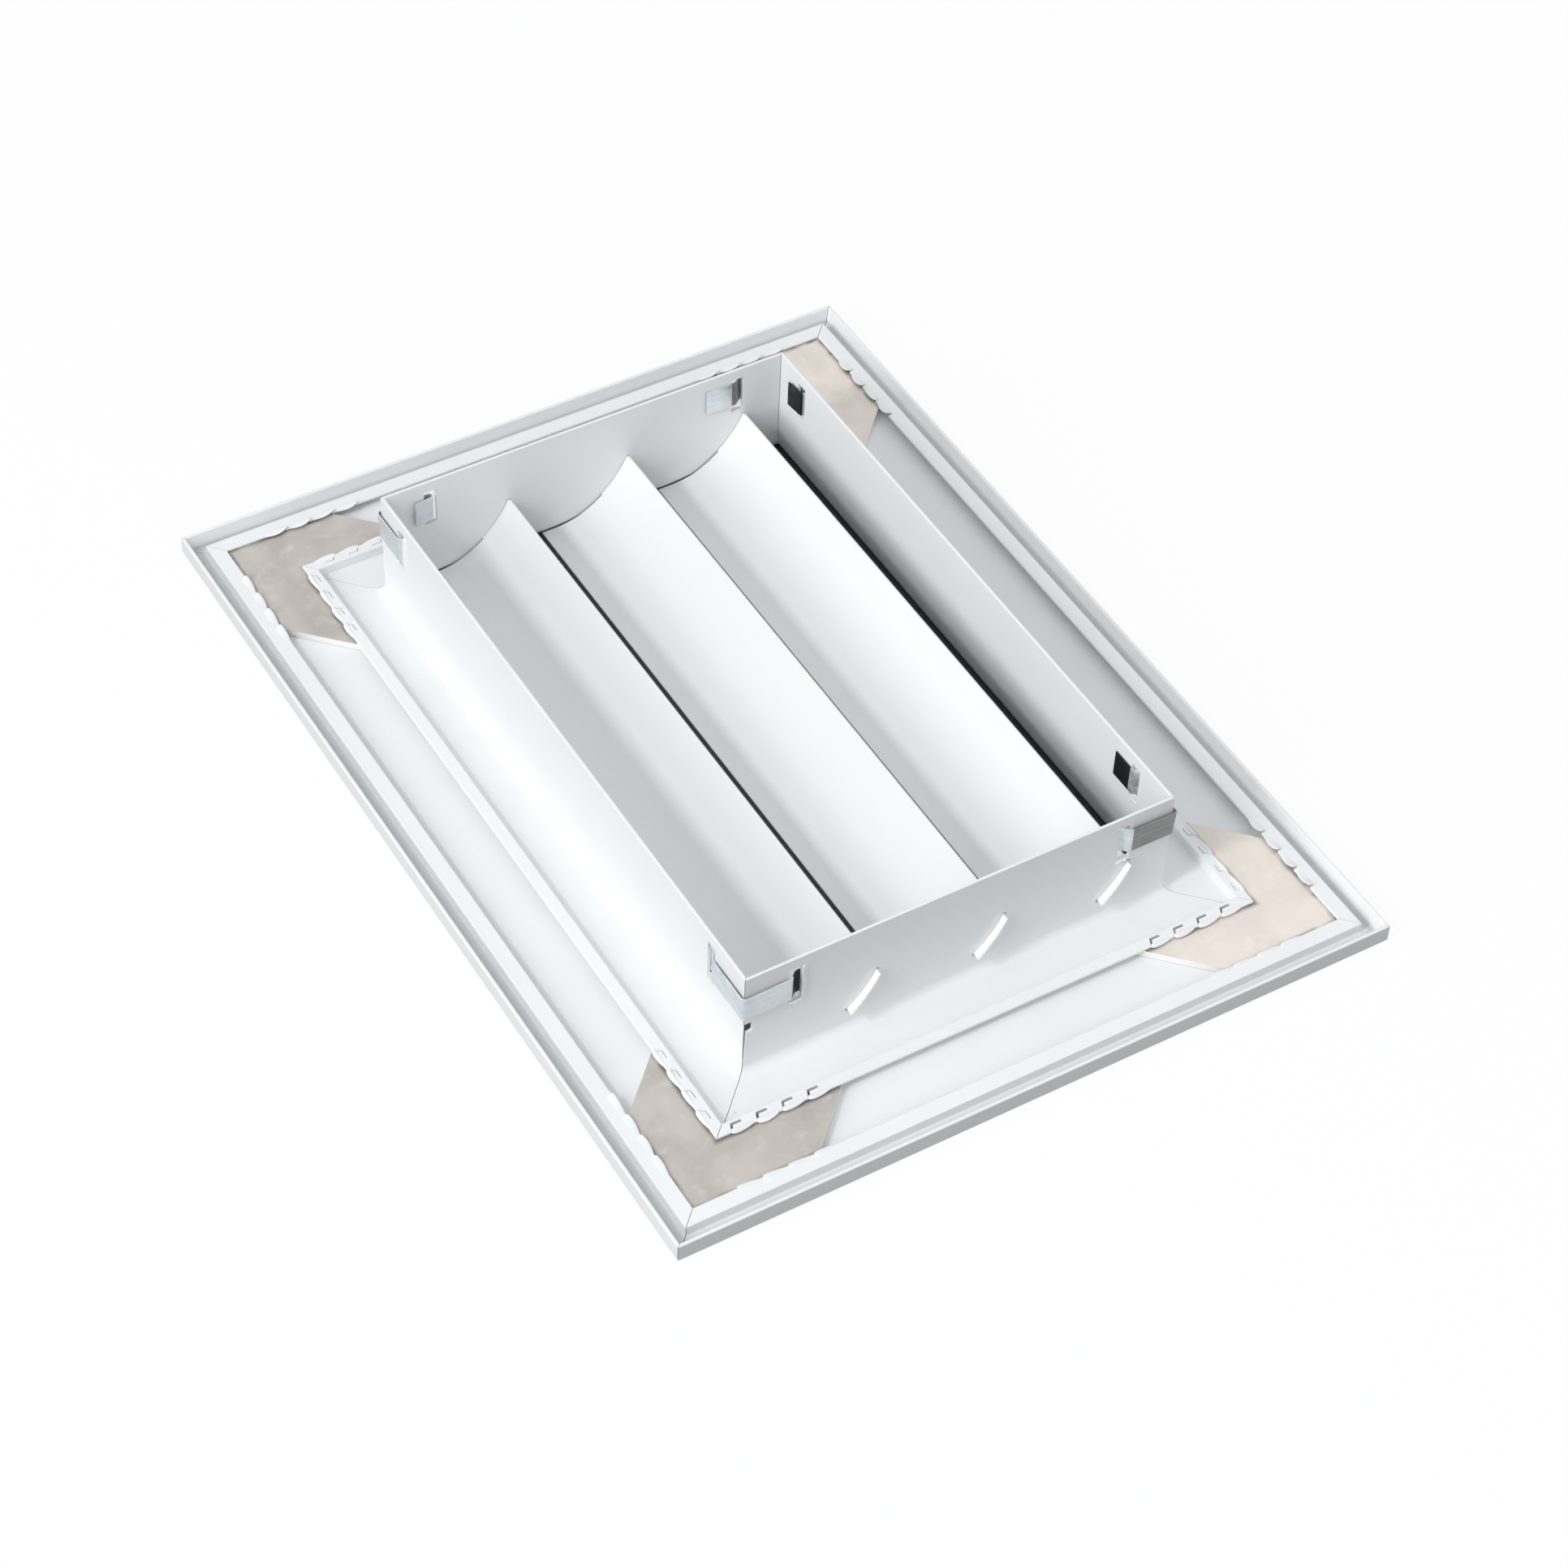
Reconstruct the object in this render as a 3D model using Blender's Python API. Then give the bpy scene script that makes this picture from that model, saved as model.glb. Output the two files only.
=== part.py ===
"""One-way ceiling air grille with curved blades, lying face down with its duct neck up.

X runs across the short side, Y along the long side and Z up; the origin is the centre of
the face plane. Four mitred lengths of one aluminium extrusion make the frame: a raised
rim, a channel for corner keys under two lips, a flat flange and the tall neck wall. Four
flat L-shaped keys lie in the channel and square the corners up. Four strips of
galvanised steel go round the corners of the neck and through slots in its walls, and
three curved blades hang by end tabs in slots in the short walls. Nothing moves.
"""
import math

import bmesh
import bpy
from mathutils import Matrix, Vector

# Overall sizes, in metres
FACE_WIDTH = 0.375
FACE_LENGTH = 0.500
NECK_HEIGHT = 0.064
FLANGE = 0.075

# Frame extrusion
WALL = 0.0015
NECK_FILLET = 0.005
RIM_HEIGHT = 0.0092
RIM_WALL = 0.0018
RIM_ROUND = 0.0006
RIB_WALL = 0.0015
LIP_WALL = 0.0012
OUTER_RIB_INSET = 0.0091
OUTER_LIP = 0.0078
CHANNEL_WIDTH = 0.0386
INNER_LIP = 0.0060
EDGE_ROUND = 0.0004
FILLET_STEPS = 6
ROUND_STEPS = 3
EDGE_STEPS = 2

# Fit between neighbouring pieces
CLEARANCE = 0.0003

# Corner keys
KEY_THICKNESS = 0.0036
KEY_END_SLANT = math.radians(45)

# Outer arm lengths of each key from the frame's corner: along its first wall, then the next
KEY_ARMS = {
    "near_left": (0.0745, 0.0685),
    "near_right": (0.0695, 0.0715),
    "far_right": (0.0720, 0.0725),
    "far_left": (0.0720, 0.0695),
}

# Tongues staked out of the lips over the keys, and the slits behind them
TONGUES_PER_ARM = 4
TONGUE_PITCH = 0.0130
INNER_TONGUE_START = 0.0575
OUTER_TONGUE_START = 0.0440
TONGUE_LEAD = 0.0045
TONGUE_ROOT = 0.0105
TONGUE_TIP = 0.0052
TONGUE_REACH = 0.0021
TONGUE_SKEW = 0.0009
TONGUE_STEP = 0.0001
SLIT_DEPTH = 0.0036
SLIT_WIDTH = 0.0008
SLIT_LENGTH = 0.0052

# Neck strips and their slots
STRIP_WIDTH = 0.0146
STRIP_THICKNESS = 0.0007
STRIP_DROP = 0.0112
STRIP_STANDOFF = 0.00055
STRIP_BEND = 0.0014
LONG_LAY = 0.015
SHORT_LAY = 0.012
LONG_TURN = 0.010
SHORT_TURN = 0.009
TURN_LIFT = 0.001
SLOT_OFFSET = 0.0225
SLOT_WIDTH = 0.0065
SLOT_MARGIN_BELOW = 0.0013
SLOT_MARGIN_ABOVE = 0.0052
BEND_STEPS = 6
JOGGLE_STEPS = 8

# Blades
BLADE_COUNT = 3
BLADE_TO_LEFT_WALL = 0.0166
BLADE_TO_RIGHT_WALL = 0.0212
BLADE_DROP = 0.0299
BLADE_RADIUS = 0.055
BLADE_THICKNESS = 0.0012
BLADE_LIFT = 0.0003
BLADE_END_GAP = 0.0007
TAB_WIDTH = 0.024
TAB_INSET = 0.0006
TAB_REACH = 0.0043
BLADE_STEPS = 8
TAB_STEPS = 6

# How each strip ends inside the neck: on the wall it starts along, then on the next wall
STRIP_TAILS = {
    "near_left": (("laid", LONG_LAY), ("laid", LONG_LAY)),
    "near_right": (("laid", SHORT_LAY), ("laid", LONG_LAY)),
    "far_right": (("laid", LONG_LAY), ("turned", LONG_TURN)),
    "far_left": (("laid", LONG_LAY), ("turned", SHORT_TURN)),
}

# How much further from the neck's corner each strip's slots lie, on the same two walls
SLOT_SHIFTS = {
    "near_left": (0.0, 0.0030),
    "near_right": (0.0025, 0.0),
    "far_right": (0.0010, -0.0035),
    "far_left": (-0.0040, 0.0),
}

# How much higher the two ends of each strip sit, as it was pulled round the corner askew
STRIP_LIFTS = {
    "near_left": (0.0012, -0.0005),
    "near_right": (0.0028, 0.0028),
    "far_right": (0.0044, 0.0018),
    "far_left": (0.0005, 0.0015),
}

# Places that follow from the sizes
LIP_UNDERSIDE = WALL + KEY_THICKNESS + 2 * CLEARANCE
LIP_TOP = LIP_UNDERSIDE + LIP_WALL
CHANNEL_START = OUTER_RIB_INSET + RIB_WALL
CHANNEL_END = CHANNEL_START + CHANNEL_WIDTH
OUTER_LIP_EDGE = OUTER_RIB_INSET + OUTER_LIP
INNER_RIB_BACK = CHANNEL_END + RIB_WALL
INNER_LIP_EDGE = INNER_RIB_BACK - INNER_LIP
NECK_INSIDE = FLANGE + WALL
NECK_HALF_WIDTH = FACE_WIDTH / 2 - NECK_INSIDE
STRIP_TOP = NECK_HEIGHT - STRIP_DROP
STRIP_BOTTOM = STRIP_TOP - STRIP_WIDTH
BLADE_AXIS_Z = BLADE_LIFT + BLADE_THICKNESS + BLADE_RADIUS
BLADE_SWEEP = math.acos((BLADE_AXIS_Z - NECK_HEIGHT + BLADE_DROP) / BLADE_RADIUS)
BLADE_SPAN = BLADE_RADIUS * math.sin(BLADE_SWEEP)

# Side and corner names go round counter-clockwise, a quarter turn apart
SIDES = ("near", "right", "far", "left")
CORNERS = ("near_left", "near_right", "far_right", "far_left")


def clear_scene():
    """Remove every object from the scene."""
    for obj in list(bpy.data.objects):
        bpy.data.objects.remove(obj)


def principled(name, colour, roughness, metallic):
    """Material with one Principled BSDF."""
    mat = bpy.data.materials.new(name)
    mat.use_nodes = True
    shader = mat.node_tree.nodes["Principled BSDF"]
    shader.inputs["Base Color"].default_value = (*colour, 1.0)
    shader.inputs["Roughness"].default_value = roughness
    shader.inputs["Metallic"].default_value = metallic
    return mat


def arc(centre, radius, start, end, steps):
    """Points on an arc in a plane, both ends included, with angles in radians."""
    turn = (end - start) / steps
    angles = [start + turn * i for i in range(steps + 1)]
    return [
        (centre[0] + radius * math.cos(a), centre[1] + radius * math.sin(a))
        for a in angles
    ]


def add_object(name, bm, material, parent, matrix=Matrix.Identity(4)):
    """Turn a bmesh into a named object with its faces pointing out."""
    bmesh.ops.recalc_face_normals(bm, faces=bm.faces)
    mesh = bpy.data.meshes.new(name)
    bm.to_mesh(mesh)
    bm.free()
    obj = bpy.data.objects.new(name, mesh)
    bpy.context.scene.collection.objects.link(obj)
    obj.parent = parent
    obj.matrix_basis = matrix
    if material:
        mesh.materials.append(material)
    return obj


def extrude_outline(bm, points, travel):
    """Close an outline of 3D points with a face and extrude it to a prism."""
    face = bm.faces.new([bm.verts.new(p) for p in points])
    made = bmesh.ops.extrude_face_region(bm, geom=[face], use_keep_orig=True)
    moved = [v for v in made["geom"] if isinstance(v, bmesh.types.BMVert)]
    bmesh.ops.translate(bm, verts=moved, vec=travel)
    return moved


def add_box(bm, low, high):
    """Add a box between two corners to a bmesh."""
    base = [
        (low[0], low[1], low[2]),
        (high[0], low[1], low[2]),
        (high[0], high[1], low[2]),
        (low[0], high[1], low[2]),
    ]
    extrude_outline(bm, base, (0, 0, high[2] - low[2]))


def combine(target, name, bm, operation):
    """Join a bmesh, given in the target's own axes, to the target or cut it away."""
    tool = add_object(name, bm, None, target.parent, target.matrix_basis.copy())
    tool.hide_render = True
    tool.display_type = "WIRE"
    modifier = target.modifiers.new(name, "BOOLEAN")
    modifier.operation = operation
    modifier.solver = "EXACT"
    modifier.object = tool


def thicken(obj, thickness, offset):
    """Give a sheet its thickness; offset -1, 0 or 1 puts it behind, around or in front."""
    modifier = obj.modifiers.new("sheet_thickness", "SOLIDIFY")
    modifier.thickness = thickness
    modifier.offset = offset
    modifier.use_even_offset = True


def side_length(side):
    """Outer length of one side of the frame."""
    return FACE_WIDTH if side in ("near", "far") else FACE_LENGTH


def side_matrix(side):
    """Place of a frame side: local X along it, local Y inward, origin at its outer foot."""
    turn = Matrix.Rotation(math.radians(90) * SIDES.index(side), 4, "Z")
    across = FACE_LENGTH if side in ("near", "far") else FACE_WIDTH
    return turn @ Matrix.Translation((0, -across / 2, 0))


def corner_matrix(corner, inset):
    """Place of a corner, inset from the frame's outer corner: X and Y along its walls."""
    sign_x = -1 if corner.endswith("left") else 1
    sign_y = -1 if corner.startswith("near") else 1
    spot = Vector((sign_x * (FACE_WIDTH / 2 - inset), sign_y * (FACE_LENGTH / 2 - inset), 0))
    turn = Matrix.Rotation(math.radians(90) * CORNERS.index(corner), 4, "Z")
    return Matrix.Translation(spot) @ turn


def rounded_top(right, left, height, radius, steps):
    """Outline of a wall's top, from its right face over to its left, with rounded edges."""
    quarter = math.pi / 2
    level = height - radius
    return [
        *arc((right - radius, level), radius, 0, quarter, steps),
        *arc((left + radius, level), radius, quarter, 2 * quarter, steps),
    ]


def frame_profile():
    """Outline of the extrusion as (inset, height), starting at the face's outer edge."""
    bend = (FLANGE - NECK_FILLET, WALL + NECK_FILLET)
    quarter = math.pi / 2
    face_and_neck = [
        (0, 0),
        *arc(bend, NECK_FILLET + WALL, -quarter, 0, FILLET_STEPS),
        *rounded_top(NECK_INSIDE, FLANGE, NECK_HEIGHT, EDGE_ROUND, EDGE_STEPS),
        *arc(bend, NECK_FILLET, 0, -quarter, FILLET_STEPS),
    ]
    inner_rib = [
        (INNER_RIB_BACK, WALL),
        *rounded_top(INNER_RIB_BACK, INNER_LIP_EDGE, LIP_TOP, EDGE_ROUND, EDGE_STEPS),
        (INNER_LIP_EDGE, LIP_UNDERSIDE),
        (CHANNEL_END, LIP_UNDERSIDE),
        (CHANNEL_END, WALL),
    ]
    outer_rib = [
        (CHANNEL_START, WALL),
        (CHANNEL_START, LIP_UNDERSIDE),
        (OUTER_LIP_EDGE, LIP_UNDERSIDE),
        *rounded_top(OUTER_LIP_EDGE, OUTER_RIB_INSET, LIP_TOP, EDGE_ROUND, EDGE_STEPS),
        (OUTER_RIB_INSET, WALL),
    ]
    rim = [
        (RIM_WALL, WALL),
        *rounded_top(RIM_WALL, 0, RIM_HEIGHT, RIM_ROUND, ROUND_STEPS),
    ]
    return face_and_neck + inner_rib + outer_rib + rim


def tongue_places(side):
    """Each tongue on one side as (place along it, lip edge's inset, way into the lip)."""
    half = side_length(side) / 2
    places = []
    for end in (-1, 1):
        for count in range(TONGUES_PER_ARM):
            step = count * TONGUE_PITCH
            places.append((end * (half - INNER_TONGUE_START - step), INNER_LIP_EDGE, 1))
            places.append((end * (half - OUTER_TONGUE_START - step), OUTER_LIP_EDGE, -1))
    return places


def repeat_on_lips(side, outline, bottom, top):
    """Prisms of one outline, (along, depth into the lip), at every tongue of a side."""
    bm = bmesh.new()
    for along, edge, inward in tongue_places(side):
        base = [(along + a, edge + inward * depth, bottom) for a, depth in outline]
        extrude_outline(bm, base, (0, 0, top - bottom))
    return bm


def tongues(side):
    """The staked tongues, which stand out from the lips' edges over the keys."""
    hold = LIP_WALL / 3
    start = -TONGUE_LEAD
    outline = [
        (start, hold),
        (start + TONGUE_ROOT, hold),
        (start - TONGUE_SKEW + TONGUE_TIP, -TONGUE_REACH),
        (start - TONGUE_SKEW, -TONGUE_REACH),
    ]
    return repeat_on_lips(side, outline, LIP_UNDERSIDE + TONGUE_STEP, LIP_TOP - TONGUE_STEP)


def slits(side):
    """Cutter for the L-shaped slits that free one end of each tongue."""
    start = -TONGUE_LEAD
    lean = SLIT_DEPTH / 2
    outline = [
        (start - SLIT_WIDTH, -LIP_WALL / 4),
        (start, -LIP_WALL / 4),
        (start + lean, SLIT_DEPTH),
        (start + lean + SLIT_LENGTH, SLIT_DEPTH),
        (start + lean + SLIT_LENGTH, SLIT_DEPTH + SLIT_WIDTH),
        (start + lean - SLIT_WIDTH / 2, SLIT_DEPTH + SLIT_WIDTH),
    ]
    return repeat_on_lips(side, outline, LIP_UNDERSIDE - CLEARANCE, LIP_TOP + LIP_WALL)


def blade_axis_x(index):
    """X of the axis about which a blade's arc is bent, which is that of its lower edge."""
    first = BLADE_TO_LEFT_WALL - NECK_HALF_WIDTH
    last = NECK_HALF_WIDTH - BLADE_TO_RIGHT_WALL - BLADE_SPAN
    return first + (last - first) * index / (BLADE_COUNT - 1)


def tab_angles():
    """Angles on a blade's arc, from its lower edge, between which its end tabs lie."""
    upper = BLADE_SWEEP - TAB_INSET / BLADE_RADIUS
    return upper - TAB_WIDTH / BLADE_RADIUS, upper


def slot_starts(corner):
    """Distances from the neck's corner to its slots, on the strip's first wall and the next."""
    return [SLOT_OFFSET + shift for shift in SLOT_SHIFTS[corner]]


def strip_slots(side):
    """Cutter for the two slots that the neck strips pass through on one side."""
    bm = bmesh.new()
    half_neck = side_length(side) / 2 - FLANGE
    start_corner = CORNERS[SIDES.index(side)]
    end_corner = CORNERS[(SIDES.index(side) + 1) % len(CORNERS)]
    first = slot_starts(start_corner)[0] - half_neck
    last = half_neck - slot_starts(end_corner)[1] - SLOT_WIDTH
    for along in (first, last):
        low = (along, FLANGE - WALL, STRIP_BOTTOM - SLOT_MARGIN_BELOW)
        high = (along + SLOT_WIDTH, NECK_INSIDE + WALL, STRIP_TOP + SLOT_MARGIN_ABOVE)
        add_box(bm, low, high)
    return bm


def blade_slots(side):
    """Cutter for the curved slots that the blade tabs pass through on a short side."""
    bm = bmesh.new()
    mirror = 1 if side == "near" else -1
    margin = CLEARANCE / BLADE_RADIUS
    low, high = tab_angles()
    start = -math.pi / 2 + low - margin
    end = -math.pi / 2 + high + margin
    for index in range(BLADE_COUNT):
        axis = (blade_axis_x(index), BLADE_AXIS_Z)
        hollow = arc(axis, BLADE_RADIUS - CLEARANCE, start, end, TAB_STEPS)
        back = arc(axis, BLADE_RADIUS + BLADE_THICKNESS + CLEARANCE, end, start, TAB_STEPS)
        outline = [(mirror * x, FLANGE - WALL, z) for x, z in hollow + back]
        extrude_outline(bm, outline, (0, 3 * WALL, 0))
    return bm


def build_frame_side(side, material, parent):
    """One mitred length of the extrusion, with staked lips and the slots in its neck wall."""
    bm = bmesh.new()
    half = side_length(side) / 2
    profile = [(-half, inset, height) for inset, height in frame_profile()]
    extrude_outline(bm, profile, (2 * half, 0, 0))
    for vert in bm.verts:
        mitre = half - vert.co.y - CLEARANCE / math.sqrt(2)
        vert.co.x = math.copysign(mitre, vert.co.x)
    obj = add_object(f"frame_{side}", bm, material, parent, side_matrix(side))
    combine(obj, f"tongues_{side}", tongues(side), "UNION")
    combine(obj, f"slits_{side}", slits(side), "DIFFERENCE")
    combine(obj, f"strip_slots_{side}", strip_slots(side), "DIFFERENCE")
    if side in ("near", "far"):
        combine(obj, f"blade_slots_{side}", blade_slots(side), "DIFFERENCE")
    return obj


def build_key(corner, material, parent):
    """Flat L-shaped corner key with slanted arm ends, lying in the frame's channel."""
    low = CHANNEL_START + CLEARANCE
    high = CHANNEL_END - CLEARANCE
    slant = (high - low) * math.tan(KEY_END_SLANT)
    first, second = KEY_ARMS[corner]
    outline = [
        (low, low),
        (first, low),
        (first + slant, high),
        (high, high),
        (high, second + slant),
        (low, second),
    ]
    bm = bmesh.new()
    base = [(x, y, WALL + CLEARANCE) for x, y in outline]
    extrude_outline(bm, base, (0, 0, KEY_THICKNESS))
    return add_object(f"key_{corner}", bm, material, parent, corner_matrix(corner, 0))


def laid_tail(slot, outside, inside, length):
    """Path of a strip that slips through its slot and is laid along the wall's inside."""
    path = []
    for i in range(JOGGLE_STEPS + 1):
        t = i / JOGGLE_STEPS
        ease = t * t * (3 - 2 * t)
        path.append((slot + t * SLOT_WIDTH, outside + ease * (inside - outside)))
    path.append((slot + SLOT_WIDTH + length, inside))
    return path


def turned_tail(slot, outside, inside, length):
    """Path of a strip that is turned back towards the corner inside its slot."""
    radius = (inside - outside) / 2
    centre = (slot + SLOT_WIDTH / 2, outside + radius)
    quarter = math.pi / 2
    path = arc(centre, radius, -quarter, quarter, JOGGLE_STEPS)
    path.append((centre[0] - length, inside + TURN_LIFT))
    return path


def strip_path(corner):
    """Centre line of a strip in plan, from one wall's tail round the corner to the other."""
    shapes = {"laid": laid_tail, "turned": turned_tail}
    outside = -(STRIP_STANDOFF + STRIP_THICKNESS / 2)
    inside = WALL + CLEARANCE + STRIP_THICKNESS / 2
    ends = zip(slot_starts(corner), STRIP_TAILS[corner])
    first, second = [shapes[tail[0]](slot, outside, inside, tail[1]) for slot, tail in ends]
    centre = (outside + STRIP_BEND, outside + STRIP_BEND)
    bend = arc(centre, STRIP_BEND, -math.pi / 2, -math.pi, BEND_STEPS)
    return first[::-1] + bend + [(y, x) for x, y in second]


def build_strip(corner, material, parent):
    """Galvanised strip round one corner of the neck, with both ends inside."""
    bm = bmesh.new()
    path = strip_path(corner)
    run = [0.0]
    for a, b in zip(path, path[1:]):
        run.append(run[-1] + math.dist(a, b))
    start, end = STRIP_LIFTS[corner]
    lifts = [start + (end - start) * r / run[-1] for r in run]
    lower = [bm.verts.new((x, y, STRIP_BOTTOM + h)) for (x, y), h in zip(path, lifts)]
    upper = [bm.verts.new((x, y, STRIP_TOP + h)) for (x, y), h in zip(path, lifts)]
    for i in range(len(path) - 1):
        bm.faces.new((lower[i], lower[i + 1], upper[i + 1], upper[i]))
    obj = add_object(f"strip_{corner}", bm, material, parent, corner_matrix(corner, FLANGE))
    thicken(obj, STRIP_THICKNESS, 0)
    return obj


def build_blade(index, material, parent):
    """Blade bent from a flat sheet about its axis, with a tab at each end of its top."""
    tab_low, tab_high = tab_angles()
    angles = [tab_low * i / BLADE_STEPS for i in range(BLADE_STEPS)]
    first_tab = len(angles)
    angles += [tab_low + (tab_high - tab_low) * i / TAB_STEPS for i in range(TAB_STEPS + 1)]
    last_tab = len(angles) - 1
    angles.append(BLADE_SWEEP)
    wall = FACE_LENGTH / 2 - FLANGE
    body_end = wall - WALL - BLADE_END_GAP
    stations = (-wall - TAB_REACH, -body_end, body_end, wall + TAB_REACH)
    bm = bmesh.new()
    rows = []
    for y in stations:
        row = []
        for a in angles:
            spot = (BLADE_RADIUS * math.sin(a), y, -BLADE_RADIUS * math.cos(a))
            row.append(bm.verts.new(spot))
        rows.append(row)
    for j in range(len(stations) - 1):
        is_tab = j != 1
        cells = range(first_tab, last_tab) if is_tab else range(len(angles) - 1)
        for i in cells:
            bm.faces.new((rows[j][i], rows[j][i + 1], rows[j + 1][i + 1], rows[j + 1][i]))
    loose = [v for v in bm.verts if not v.link_faces]
    bmesh.ops.delete(bm, geom=loose, context="VERTS")
    place = Matrix.Translation((blade_axis_x(index), 0, BLADE_AXIS_Z))
    obj = add_object(f"blade_{index + 1}", bm, material, parent, place)
    hollow_faces_up = obj.data.polygons[0].normal.z > 0
    thicken(obj, BLADE_THICKNESS, -1 if hollow_faces_up else 1)
    return obj


def build_grille():
    """Build every piece of the grille under one empty at the centre of its face."""
    clear_scene()
    origin = bpy.data.objects.new("grille_origin", None)
    bpy.context.scene.collection.objects.link(origin)
    white_paint = (0.86, 0.87, 0.88)
    bare_key = (0.60, 0.55, 0.51)
    zinc = (0.62, 0.66, 0.68)
    for side in SIDES:
        build_frame_side(side, principled(f"frame_{side}_paint", white_paint, 0.35, 0.0), origin)
    for corner in CORNERS:
        build_key(corner, principled(f"key_{corner}_metal", bare_key, 0.55, 0.6), origin)
        build_strip(corner, principled(f"strip_{corner}_zinc", zinc, 0.4, 0.9), origin)
    for index in range(BLADE_COUNT):
        build_blade(index, principled(f"blade_{index + 1}_paint", white_paint, 0.3, 0.0), origin)


build_grille()
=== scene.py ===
"""Looks of a one-way ceiling air grille that lies face down with its duct neck up.

The frame's sides, the tongues staked over the corner keys, the neck strips and the blades
are rebuilt as smooth surfaces that stand for their solids, and the corner keys keep theirs.
Powder coat, bare plate and zinc are procedural. Lengths are in metres, X runs across the
short side, Y along the long side and Z up, with the face on the floor at zero.
"""
import logging
import math
from dataclasses import dataclass, field
from enum import Enum
from typing import ClassVar

import bmesh
import bpy
import numpy as np
from mathutils import Matrix, Vector


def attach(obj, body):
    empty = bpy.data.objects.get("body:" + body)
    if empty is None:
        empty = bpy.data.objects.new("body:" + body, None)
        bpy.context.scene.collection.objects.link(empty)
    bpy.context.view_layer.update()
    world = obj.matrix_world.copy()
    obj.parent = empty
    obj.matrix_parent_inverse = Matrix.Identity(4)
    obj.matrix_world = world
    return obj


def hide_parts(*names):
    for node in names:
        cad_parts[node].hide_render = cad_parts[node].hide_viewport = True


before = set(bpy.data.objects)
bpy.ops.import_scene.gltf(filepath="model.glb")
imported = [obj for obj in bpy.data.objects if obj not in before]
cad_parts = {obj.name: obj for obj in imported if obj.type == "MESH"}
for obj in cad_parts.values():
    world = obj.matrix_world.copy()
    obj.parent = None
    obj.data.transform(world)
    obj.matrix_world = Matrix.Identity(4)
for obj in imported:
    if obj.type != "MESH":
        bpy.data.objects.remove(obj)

LOG = logging.getLogger("air_grille")
QUARTER = math.pi / 2
MERGE_DISTANCE = 1e-7
EDGE_STEPS = 5
BEND_STEPS = 20
ROUNDING_SEGMENTS = 2
ROUNDING_ANGLE = math.radians(50)
FLAT_WEIGHT = 90

Points = np.ndarray
Faces = list[list[int]]
Stretch = tuple[float, float, float, float]


class Side(Enum):
    """A side of the frame, by its quarter turns from the near one."""

    NEAR = 0
    RIGHT = 1
    FAR = 2
    LEFT = 3

    @property
    def node(self) -> str:
        """Name of the side's solid."""
        return f"frame_{self.name.lower()}"

    @property
    def is_short(self) -> bool:
        """Whether the side runs along the face's width and carries the blades."""
        return self in (Side.NEAR, Side.FAR)


class Corner(Enum):
    """A corner of the frame, by its quarter turns from the near left one."""

    NEAR_LEFT = 0
    NEAR_RIGHT = 1
    FAR_RIGHT = 2
    FAR_LEFT = 3

    @property
    def signs(self) -> tuple[int, int]:
        """On which side of the middle the corner lies.

        Returns:
            Signs of its X and Y.
        """
        right = self in (Corner.NEAR_RIGHT, Corner.FAR_RIGHT)
        far = self in (Corner.FAR_RIGHT, Corner.FAR_LEFT)
        return (1 if right else -1, 1 if far else -1)


class Tail(Enum):
    """How a neck strip ends inside its slot."""

    LAID = "laid along the wall"
    TURNED = "turned back to the corner"


# Surfaces and meshes


def arc(centre: tuple[float, float], radius: float, start: float, end: float, steps: int) -> Points:
    """Points of a circular arc: centre plus radius times (cos a, sin a), a from start to end.

    Args:
        centre: Centre in the plane.
        radius: Radius of the arc.
        start: First angle in radians.
        end: Last angle in radians.
        steps: Number of chords.

    Returns:
        Array of steps + 1 rows of two numbers.
    """
    angle = np.linspace(start, end, steps + 1)
    return np.column_stack([centre[0] + radius * np.cos(angle), centre[1] + radius * np.sin(angle)])


def grid_faces(rows: int, columns: int, closed: bool = False) -> np.ndarray:
    """Quads of a grid whose points are numbered row by row.

    Args:
        rows: Points along the first parameter.
        columns: Points along the second parameter.
        closed: Whether the last column joins the first.

    Returns:
        Array of four point numbers a face.
    """
    number = np.arange(rows * columns).reshape(rows, columns)
    if closed:
        number = np.column_stack([number, number[:, 0]])
    around = [number[:-1, :-1], number[1:, :-1], number[1:, 1:], number[:-1, 1:]]
    return np.stack(around, axis=-1).reshape(-1, 4)


def stacked(quads: np.ndarray, size: int, count: int) -> np.ndarray:
    """Faces of count equal shapes of size points that follow one another."""
    shift = size * np.arange(count).reshape(-1, 1, 1)
    return (quads[None] + shift).reshape(-1, quads.shape[1])


def prisms(outlines: Points, travel: tuple[float, float, float]) -> tuple[Points, Faces]:
    """Straight prisms: each outline's points, and the same points moved by travel.

    Args:
        outlines: Array of shape (prisms, points, 3).
        travel: The move from one end to the other.

    Returns:
        Points as rows, and faces.
    """
    count, size = outlines.shape[:2]
    points = np.stack([outlines, outlines + np.array(travel)], axis=1).reshape(-1, 3)
    sides = stacked(grid_faces(2, size, closed=True), 2 * size, count)
    caps = stacked(np.arange(2 * size).reshape(2, size), 2 * size, count)
    return points, sides.tolist() + caps.tolist()


def turned(points: Points, quarters: int, shift: tuple[float, float, float]) -> Points:
    """Points turned by quarter turns about Z, then shifted: R p + s.

    Args:
        points: Array whose last axis is three numbers.
        quarters: Number of quarter turns.
        shift: The move after the turn.

    Returns:
        Rows of three numbers.
    """
    cos, sin = round(math.cos(quarters * QUARTER)), round(math.sin(quarters * QUARTER))
    turn = np.array([[cos, -sin, 0], [sin, cos, 0], [0, 0, 1]], float)
    return points.reshape(-1, 3) @ turn.T + np.array(shift)


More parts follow.
